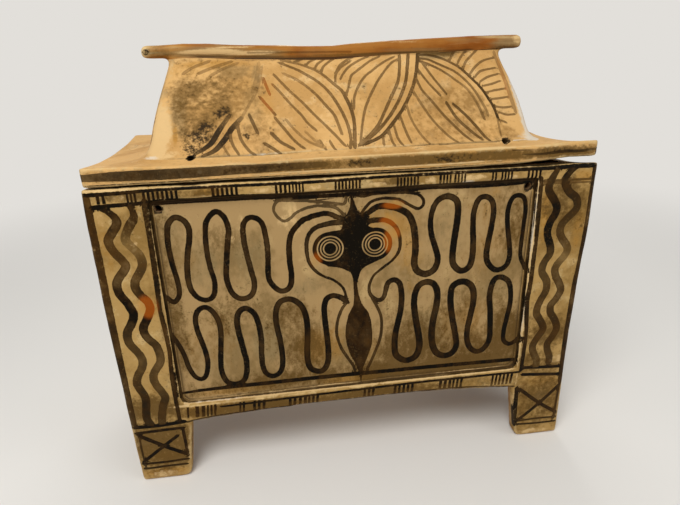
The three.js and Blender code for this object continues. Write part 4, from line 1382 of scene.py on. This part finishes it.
def brush(uv, strokes, shapes=()):
    # For each point, from the nearest stroke: distance to its edge in mm, negative inside;
    # place across it, left or right of its middle line; its half width, tone and strength
    found = np.tile(unpainted, (len(uv), 1))
    for half, tone, body, points in strokes:
        curve, looks = rounded(points, (half, tone, body))
        edge = reach + looks[:, 0].max()
        area = within(uv, curve, edge)
        own = np.tile(unpainted, (len(area), 1))
        for k in range(0, len(curve) - 1, stretch):
            part, look = curve[k:k + stretch + 1], looks[k:k + stretch + 1]
            near = within(uv[area], part, edge)
            if not len(near):
                continue
            start, way = part[:-1], np.diff(part, axis=0)
            gap = uv[area[near]][:, None] - start
            t = np.clip((gap * way).sum(2) / np.maximum((way * way).sum(1), tiny), 0, 1)
            gap -= t[..., None] * way
            away = np.linalg.norm(gap, axis=2)
            row, best = np.arange(len(near)), (away - look[:-1, 0] - t * np.diff(look[:, 0])).argmin(1)
            gap, way, away, t = gap[row, best], way[best], away[row, best], t[row, best][:, None]
            side = np.where(way[:, 0] * gap[:, 1] > way[:, 1] * gap[:, 0], 1, -1)
            here = look[best] * (1 - t) + look[best + 1] * t
            new = np.column_stack([away - here[:, 0], side * away, here])
            closer = new[:, 0] < own[near, 0]
            own[near[closer]] = new[closer]
        # Where two strokes meet, both call that side by the same sign, or a false line shows between
        meets = np.maximum(own[:, 0], found[area, 0]) < meeting["near"]
        meets &= abs(own[:, 0] - found[area, 0]) < meeting["alike"]
        if (np.sign(own[meets, 1]) * np.sign(found[area[meets], 1])).sum() < 0:
            own[:, 1] *= -1
        closer = own[:, 0] < found[area, 0]
        found[area[closer]] = own[closer]
    for outline, tone, body in shapes:
        shape = np.array(outline, float)
        near = within(uv, shape, reach)
        if not len(near):
            continue
        point = uv[near]
        start, way = shape, np.roll(shape, -1, axis=0) - shape
        gap = point[:, None] - start
        t = np.clip((gap * way).sum(2) / (way * way).sum(1), 0, 1)
        away = np.linalg.norm(gap - t[..., None] * way, axis=2).min(1)
        rises = (start[:, 1] > point[:, 1:2]) != ((start + way)[:, 1] > point[:, 1:2])
        slope = np.where(abs(way[:, 1]) < tiny, tiny, way[:, 1])
        cross = start[:, 0] + (point[:, 1:2] - start[:, 1]) * way[:, 0] / slope
        inside = (rises & (point[:, :1] < cross)).sum(1) % 2 == 1
        away = np.where(inside, -away, away)
        same = [np.full(len(near), x) for x in (deep, tone, body)]
        new = np.column_stack([away, np.maximum(deep + away, 0), *same])
        closer = away < found[near, 0]
        found[near[closer]] = new[closer]
    return found


def barsAt(groups, u):
    # Whole numbers on the bars, halves between groups, so that the material can draw them sharply
    knots, count = [(-1e4, -0.5)], 0
    for first, last, many in groups:
        gap = (last - first) / max(many - 1, 1) or paintLook["barPitch"]
        knots += [(first - gap / 2, count - 0.5), (last + gap / 2, count + many - 0.5)]
        count += many
    return np.interp(u, *np.array(knots).T)


length = (right - left) / mm
depth = (back - front) / mm
topOfChest = rimTop / mm
frontWaves = [(waves["half"], *look) for look in zip(waves["tones"], waves["bodies"], waves["lines"])]
backLoops = []
for low, high in ((478, 652), (262, 446)):
    backLoops.append((5.4, 0.25, 0.85, meander(136, 916, low, high, 7)))

endLines = [
    (2.2, 0.35, 0.85, [(4, 713), (230, 714), (463, 713)]),
    (3.4, 0.15, 0.95, [(6, 688), (230, 687), (461, 688)]),
    (8.0, 0.45, 0.9, [(3, 700), (3, 420), (3, 165)]),
    (8.0, 0.45, 0.9, [(464, 700), (464, 420), (464, 165)]),
    (4.6, 0.35, 0.85, [(102, 684), (103, 420), (102, 172)]),
    (4.6, 0.35, 0.85, [(365, 684), (364, 420), (365, 172)]),
    (4.0, 0.25, 0.9, [(116, 241), (234, 242), (352, 240)]),
    (2.4, 0.35, 0.85, [(112, 197), (234, 196), (356, 197)]),
]
endLines += [(2.4, 0.4, 0.8, [(u, v), (u + 96, v)]) for u in (6, 366) for v in (156, 52)]
endLines += [(3.2, 0.4, 0.85, [(u, v), (u + 90, 188 - v)]) for u in (8, 368) for v in (60, 128)]
endWaves = [(8.5, 0.3, 0.9, wavy(u, 180, 684, 11, 82, phase)) for u, phase in ((52, 0.4), (415, 1.9))]
for u, phase in ((160, 0), (234, 0.5), (308, 1)):
    endWaves.append((5.4, 0.25, 0.85, wavy(u, 262, 664, 15, 118, phase)))

fan = [[(60 + 14 * k, 775), (110 + 11 * k, 850 + 5 * k), (200 + 4 * k, 940)] for k in range(4)]
fan += [[(depth - u, v) for u, v in points] for points in fan]
gableLines = [(2.2, 0.5, 0.8, points) for points in fan]

barMarks = [  # on the ridge bar's long faces
    ([2, 3, 4, 4, 3], [0.9, 0.8, 0.7, 0.6, 0.4], [0.6, 0.8, 0.95, 0.95, 0.9], [
        (160, 950), (300, 946), (520, 942), (740, 945), (910, 951)]),
    (2.0, 0.9, 0.5, [(330, 960), (440, 958), (560, 956)]),
    (6.5, 0.0, 1.0, [(111.0, 966.5), (111.8, 966.5)]),
]

octopus = [(half, tone, body, [(u + artShift[0], v + artShift[1]) for u, v in points])
           for half, tone, body, points in octopus]
octopusHead = [(u + artShift[0], v + artShift[1]) for u, v in octopusHead]

design = {
    "front": (octopus + lines + frontWaves, [(octopusHead, 0.0, 1.0)]),
    "back": (backLoops + lines + frontWaves, []),
    "left": (endLines + endWaves, []),
    "right": (endLines + endWaves, []),
    "lidFront": (lidEdge, []),
    "lidBack": (lidEdge, []),
    "lidEnd": ([([8, 9, 8], 0.25, 0.85, [(4, 743), (230, 744), (463, 743)])], []),
    "roof": (roof + [([2.6, 3.1, 2.8], tone, 0.68, points) for tone, points in hatches], []),
    "gable": (gableLines, []),
    "plate": ([], []),
    "joint": ([], []),
    "reveal": ([
        (7.5, 0.1, 0.95, [(126, 226), (126, 450), (126, 684)]),
        (7.5, 0.1, 0.95, [(919, 226), (919, 450), (919, 684)]),
        (6.2, 0.2, 0.85, [(126, 219), (537, 219.5), (922, 219)]),
        # the rim rail's underside: paint, with the shade under the rail painted in
        (8, 0.1, 0.95, [(126, 682), (922, 682)])], []),
    "bar": (barMarks, []),
}
design["roofBack"] = design["roof"]
holeRims = {  # dark rims of the tie holes
    "front": ((132, 670), (919, 670)), "back": ((143, 670), (929, 670)), "roof": ((203.5, 2), (869, 2)),
}
for face, places in holeRims.items():
    strokes, shapes = design[face]
    design[face] = (strokes + [(6.6, 0.0, 1.0, [(u, v), (u + 0.6, v)]) for u, v in places], shapes)

# Marks on the faces out of view, scattered with a fixed seed
scattered = {
    "seed": 23,
    "count": 26,  # on each face
    "kinds": ("gold", "grey", "stainAndShade", "grey", "gold", "paleAndHighlight"),
    "halfWidth": (18, 70),  # mm
    "halfHeight": (14, 60),
    "strength": (0.3, 0.7),
    "start": 30,  # mm from the left end of a face
    "faces": (  # face, its last place along, lowest and highest place
        ("back", 1000, 40, 700), ("left", 430, 40, 700), ("right", 430, 40, 700),
        ("roofBack", 900, 0, 250), ("lidBack", 1000, 730, 760), ("lidEnd", 430, 730, 760)),
}
draw = np.random.default_rng(scattered["seed"])
for face, width, low, high in scattered["faces"]:
    markTable[face] = {kind: [] for kind in scattered["kinds"]}
    for i in range(scattered["count"]):
        kind = scattered["kinds"][draw.integers(len(scattered["kinds"]))]
        spans = ((scattered["start"], width), (low, high), *(scattered[key] for key in (
            "halfWidth", "halfHeight", "strength")))
        markTable[face][kind].append([draw.uniform(*span) for span in spans])


faceOf = {  # lengths in mm; a turn is a share of a unit normal
    "near": 24,  # a side of the chest reaches this deep into the clay
    "turn": 0.4,  # and takes points that look this squarely out of it
    "skin": 17,  # or that lie this close to it
    "gapShadeTurn": 0.8,  # the rim's upper face, which takes the painted shadow of the gap
    "gapShadeBand": 14,
    "revealTurn": 0.7,  # the frame's inner sides look out of no side more than this
    "revealDepth": 2,  # lie deeper than this
    "revealHeights": (190, 690),
    "revealInset": 90,  # and this far in from the chest's ends
    "coatDepth": 20,  # the slip goes this deep
    "coatRim": 6,  # and covers the top of the rim
    "coatFull": 10.0,  # mm inside the slip's edge; negative where the clay is bare
    "sole": 8,  # height of the bare soles
    "soleTurn": 0.5,
    "slope": (0.674, 0.738),  # the way up a roof slope: inwards, upwards
    "slopeFoot": 48,  # in from the lid's edge
    "slopeTurn": 0.55,
    "plateSkin": 3,  # above the plate's top
    "flatTurn": 0.9,
    "roofSkin": 1.5,
    "roofInner": 150,  # from the middle
    "gableTurn": 0.72,
    "gableIn": 0.3,
    "roofIn": 0.15,
    "hollow": (392, 157),  # half sizes of the opening under the lid
    "edgeTurn": 0.5,
    "underTurn": 0.6,
}


def chestMap(x, y, z, normal):
    u = x - left / mm
    face = np.full(len(x), "", dtype="<U8")
    uv = np.stack([u, z], 1)
    outward = {
        "left": (-normal[:, 0], x - left / mm), "right": (normal[:, 0], right / mm - x),
        "front": (-normal[:, 1], y - front / mm), "back": (normal[:, 1], back / mm - y),
    }
    facing = np.stack([np.where(near < faceOf["near"], turn, -1) for turn, near in outward.values()], 1)
    closest = np.stack([near for turn, near in outward.values()], 1)
    best = np.where(facing.max(1) > faceOf["turn"], facing.argmax(1), closest.argmin(1))
    for i, label in enumerate(outward):
        here = (best == i) & ((facing[:, i] > faceOf["turn"]) | (closest[:, i] < faceOf["skin"]))
        face[here] = label
        if label == "back":
            uv[here, 0] = length - u[here]
        if label == "left":
            uv[here, 0] = back / mm - y[here]
        if label == "right":
            uv[here, 0] = y[here] - front / mm
    # The rim's top at the front takes the painted shadow of the gap under the lid
    top = (normal[:, 2] > faceOf["gapShadeTurn"]) & (z > topOfChest - faceOf["gapShadeBand"])
    face[(face == "front") & top] = "joint"
    # The frame's inner sides, unfolded, down to the front and back panels
    inset = closest[:, 2:].min(1)
    low, high = faceOf["revealHeights"]
    inner = (facing.max(1) < faceOf["revealTurn"]) & (inset > faceOf["revealDepth"])
    inner &= (z > low) & (z < high) & (closest[:, :2].min(1) > faceOf["revealInset"]) & (face != "")
    face[inner] = "reveal"
    uv[inner, 0] = u[inner] + (inset * normal[:, 0])[inner]
    uv[inner, 1] = z[inner] + (inset * normal[:, 2])[inner]
    full = faceOf["coatFull"]
    coat = np.where(z > topOfChest - faceOf["coatRim"], full, faceOf["coatDepth"] - closest.min(1))
    coat = np.where((z < faceOf["sole"]) & (normal[:, 2] < -faceOf["soleTurn"]), -full, coat)
    return face, uv, coat


def lidMap(name, x, y, z, normal):
    face = np.full(len(x), "", dtype="<U8")
    uv = np.stack([x - left / mm, z], 1)
    full = faceOf["coatFull"]
    if name == "ridge_beam":
        face[:] = "bar"
        return face, uv, np.full(len(x), full)
    top = plateTop / mm
    inwards, upwards = faceOf["slope"]
    rise = (abs(y) + (front / mm + faceOf["slopeFoot"])) * -inwards + (z - top) * upwards
    onSlope = abs(normal[:, 1]) * upwards + normal[:, 2] * inwards > faceOf["slopeTurn"]
    aside = abs(normal[:, 0]) > faceOf["gableTurn"]
    if name == "lid_frame":
        above = z > top + faceOf["plateSkin"]
        hollow = (abs(x) < faceOf["hollow"][0]) & (abs(y) < faceOf["hollow"][1])
        coat = np.where((normal[:, 2] < -faceOf["edgeTurn"]) | hollow, -full, full)
        edge = ~above & ~hollow
        face[edge & (normal[:, 1] < -faceOf["edgeTurn"])] = "lidFront"
        face[edge & (normal[:, 1] > faceOf["edgeTurn"])] = "lidBack"
        face[edge & (abs(normal[:, 0]) > faceOf["edgeTurn"])] = "lidEnd"
        # The lid's underside at the front takes the painted shadow of the gap as well
        joint = (normal[:, 2] < -faceOf["underTurn"]) & (y < front / mm + faceOf["gapShadeBand"])
        face[joint] = "joint"
        coat[joint] = full
        ends = face == "lidEnd"
        uv[ends, 0] = y[ends] - front / mm
        flat = above & ~hollow & (normal[:, 2] > faceOf["flatTurn"])
        face[flat] = "plate"
        uv[flat, 1] = back / mm - abs(y[flat])
        onRoof = (z > top + faceOf["roofSkin"]) & (abs(y) > faceOf["roofInner"])
        onRoof &= ~hollow & ~aside & ~flat
    else:
        outer = normal[:, 0] * np.sign(x) > -faceOf["gableIn"]
        if name.startswith("roof"):
            outer = normal[:, 2] > -faceOf["roofIn"]
        coat = np.where(outer, full, -full)
        onRoof = onSlope & ~aside
        ends = aside & outer
        face[ends] = "gable"
        uv[ends, 0] = y[ends] - front / mm
    face[onRoof] = np.where(y[onRoof] < 0, "roof", "roofBack")
    uv[onRoof, 1] = rise[onRoof]
    return face, uv, coat


def faceMap(name, place, normal):
    # The painted face of each point, its place on that face, and how deep it lies in the slip
    if name in bodies["chest"]:
        return chestMap(*place.T, normal)
    return lidMap(name, *place.T, normal)


markFade = (1.25, 0.8)  # a mark is full in its middle, and fades past about half its size
holeShade = {  # mm: soot and painted shade inside a tie hole
    "beyond": 1.1,  # its radius
    "depths": (1.5, 70),
    "strength": 3,
}
oneValue = ("rust", "gold", "grey", "stainAndShade", "umberAndShade", "sootAndShade", "paleAndHighlight", "limeAndHighlight", "bars")


def paintPiece(name, piece):
    mesh = piece.data
    place = numbers(mesh.vertices, "co", 3) / mm
    # The clay's own normals, from before it was cut; points made by a cut take their neighbours'
    normal = numbers(mesh.attributes["facing"].data, "vector", 3)
    around = neighbours(mesh)
    for i in range(6):
        size = np.linalg.norm(normal, axis=1)
        spread = np.stack([around(normal[:, k]) for k in range(3)], 1)
        normal = np.where(size[:, None] > 0.5, normal / np.maximum(size, tiny)[:, None], 4 * spread)
    face, uv, coat = faceMap(name, place, normal)
    values = {key: np.zeros(len(place)) for key in oneValue}
    values["barEnds"] = np.full(len(place), -reach)
    values["coat"] = coat
    paint = np.tile(unpainted, (len(place), 1))
    for label, (strokes, shapes) in design.items():
        here = np.nonzero(face == label)[0]
        if not len(here):
            continue
        u, v = uv[here].T
        paint[here] = brush(uv[here], strokes, shapes)
        if label in ("front", "back", "left", "right"):
            side = ("endRim", "endBottom") if label in ("left", "right") else ("rim", "bottom")
            for kind, heights, lean in zip(side, ("rimHeights", "bottomHeights"), (0, bars["lean"])):
                low, high = bars[heights]
                row = np.nonzero((v > low - reach) & (v < high + reach))[0]
                values["bars"][here[row]] = barsAt(bars[kind], u[row] - lean * (v[row] - low))
                values["barEnds"][here[row]] = np.minimum(v[row] - low, high - v[row])
        for kind, marks in markTable.get(label, {}).items():
            for mu, mv, ru, rv, strength in marks:
                away = ((u - mu) / ru) ** 2 + ((v - mv) / rv) ** 2
                shade = strength * np.minimum(markFade[0] * np.exp(-markFade[1] * away), 1)
                values[kind][here] = np.maximum(values[kind][here], shade)
    # Soot and shade in the tie holes
    onLid = name in bodies["lid"]
    for mouth, axis, radius in holes["lid" if onLid else "chest"]:
        axis = np.array(axis) / np.linalg.norm(axis)
        gap = place - warped(np.array([mouth]) / mm, onLid)
        along = gap @ axis
        off = np.linalg.norm(gap - along[:, None] * axis, axis=1)
        low, high = holeShade["depths"]
        inside = (off < radius / mm + holeShade["beyond"]) & (along > low) & (along < high)
        values["sootAndShade"][inside] = holeShade["strength"]
    # Points beyond every stroke take their neighbours' side of it, or a false line shows
    side = np.where(paint[:, 0] < reach, np.sign(paint[:, 1]), 0)
    for i in range(3):
        side = np.where(paint[:, 0] < reach, side, around(side))
    paint[:, 1] = np.where(paint[:, 0] < reach, paint[:, 1], np.where(side < 0, -reach, reach))
    values |= dict(zip(("ink", "across", "half", "tone", "body"), paint.T))
    for key, found in values.items():
        mesh.attributes.new(key, "FLOAT", "POINT").data.foreach_set("value", found.astype(np.float32))


for pieceName, piece in pieces.items():
    paintPiece(pieceName, piece)
print("paint laid out on", len(pieces), "pieces")


for name, piece in pieces.items():
    piece.name = name + "_clay"
    piece.data.name = piece.name
    piece.data.materials.clear()
    piece.data.materials.append(materialOf(name))
    piece.data.polygons.foreach_set("use_smooth", np.ones(len(piece.data.polygons), bool))
    piece.data.set_sharp_from_angle(angle=math.radians(clay["sharpAngle"]))
    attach(piece, "chest" if name in bodies["chest"] else "lid")
    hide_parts(name)
print("pieces in place")


# Camera, at the photo's place
view = {
    "place": (-0.16107, -1.25282, 0.94858),
    "turn": (68.974, 1.559, -7.697),  # degrees
    "lens": 27.137,  # mm on a 36 mm sensor
}
camera = bpy.data.cameras.new("camera")
camera.lens = view["lens"]
camera.sensor_width = 36
camera.clip_start = 0.05
cameraObject = newObject("camera", camera)
cameraObject.location = view["place"]
cameraObject.rotation_euler = [math.radians(a) for a in view["turn"]]
bpy.context.scene.camera = cameraObject

# Studio: a pale floor that runs out into an even backdrop, and soft lamps
studio = {
    "floor": "#e4e1db",
    "floorRoughness": 0.8,
    "floorSize": 40,  # m
    "backdrop": "#e2dfda",
    "fadeFrom": 1.3,  # m from the chest, where the floor starts to become backdrop
    "fadeTo": 3.4,
    "ambient": 0.42,
    "lamps": {  # place, target, width, watts
        "key": ((-0.8, -1.7, 2.7), (0, 0, 0.5), 1.5, 60),
        "fill": ((2.4, -1.9, 1.6), (0, 0, 0.4), 1.8, 14),
        "back": ((0.4, 2.6, 2.2), (0, 0, 0.5), 1.8, 28),
    },
}
half = studio["floorSize"] / 2
corners = [(-half, -half, 0), (half, -half, 0), (half, half, 0), (-half, half, 0)]
floorMesh = bpy.data.meshes.new("studioFloor")
floorMesh.from_pydata(corners, [], [(0, 1, 2, 3)])
studioFloor = newObject("studioFloor", floorMesh)
floorMaterial = bpy.data.materials.new("paintedFloor")
floorMaterial.use_nodes = True
world = bpy.data.worlds.new("studio")
bpy.context.scene.world = world
world.use_nodes = True
backdrop = {}
for owner in (floorMaterial, world):
    tree = owner.node_tree
    tree.nodes.clear()
    path = put(tree, "ShaderNodeLightPath")
    seen = put(tree, "ShaderNodeMath", {
        0: path.outputs["Is Camera Ray"], 1: path.outputs["Is Glossy Ray"]}, operation="MAXIMUM")
    backdrop[owner.name] = put(tree, "ShaderNodeMath", {
        0: seen, 1: path.outputs["Is Transmission Ray"]}, operation="MAXIMUM")

tree = floorMaterial.node_tree
where = put(tree, "ShaderNodeTexCoord")
away = put(tree, "ShaderNodeVectorMath", {0: where.outputs["Object"]}, operation="LENGTH")
far = put(tree, "ShaderNodeMapRange", {
    "Value": away.outputs["Value"], "From Min": studio["fadeFrom"], "From Max": studio["fadeTo"]},
    interpolation_type="SMOOTHSTEP")
share = put(tree, "ShaderNodeMath", {0: far, 1: backdrop["paintedFloor"]}, operation="MULTIPLY")
matt = put(tree, "ShaderNodeBsdfPrincipled", {
    "Base Color": linear(studio["floor"]), "Roughness": studio["floorRoughness"]})
glow = put(tree, "ShaderNodeEmission", {"Color": linear(studio["backdrop"]), "Strength": 1.0})
mixed = put(tree, "ShaderNodeMixShader", {0: share, 1: matt, 2: glow})
put(tree, "ShaderNodeOutputMaterial", {"Surface": mixed})
floorMesh.materials.append(floorMaterial)

tree = world.node_tree
dim = put(tree, "ShaderNodeBackground", {"Color": (1, 1, 1, 1), "Strength": studio["ambient"]})
shown = put(tree, "ShaderNodeBackground", {"Color": linear(studio["backdrop"]), "Strength": 1.0})
mixed = put(tree, "ShaderNodeMixShader", {0: backdrop["studio"], 1: dim, 2: shown})
put(tree, "ShaderNodeOutputWorld", {"Surface": mixed})

for lampName, (place, target, size, watts) in studio["lamps"].items():
    lamp = bpy.data.lights.new(lampName, "AREA")
    lamp.shape = "DISK"
    lamp.size = size
    lamp.energy = watts
    lampObject = newObject(lampName, lamp)
    lampObject.location = place
    away = np.array(place) - np.array(target)
    lampObject.rotation_euler = (math.atan2(math.hypot(away[0], away[1]), away[2]), 0,
                                 math.atan2(away[1], away[0]) + math.pi / 2)
bpy.context.scene.view_settings.view_transform = "Standard"
print("camera and studio set")
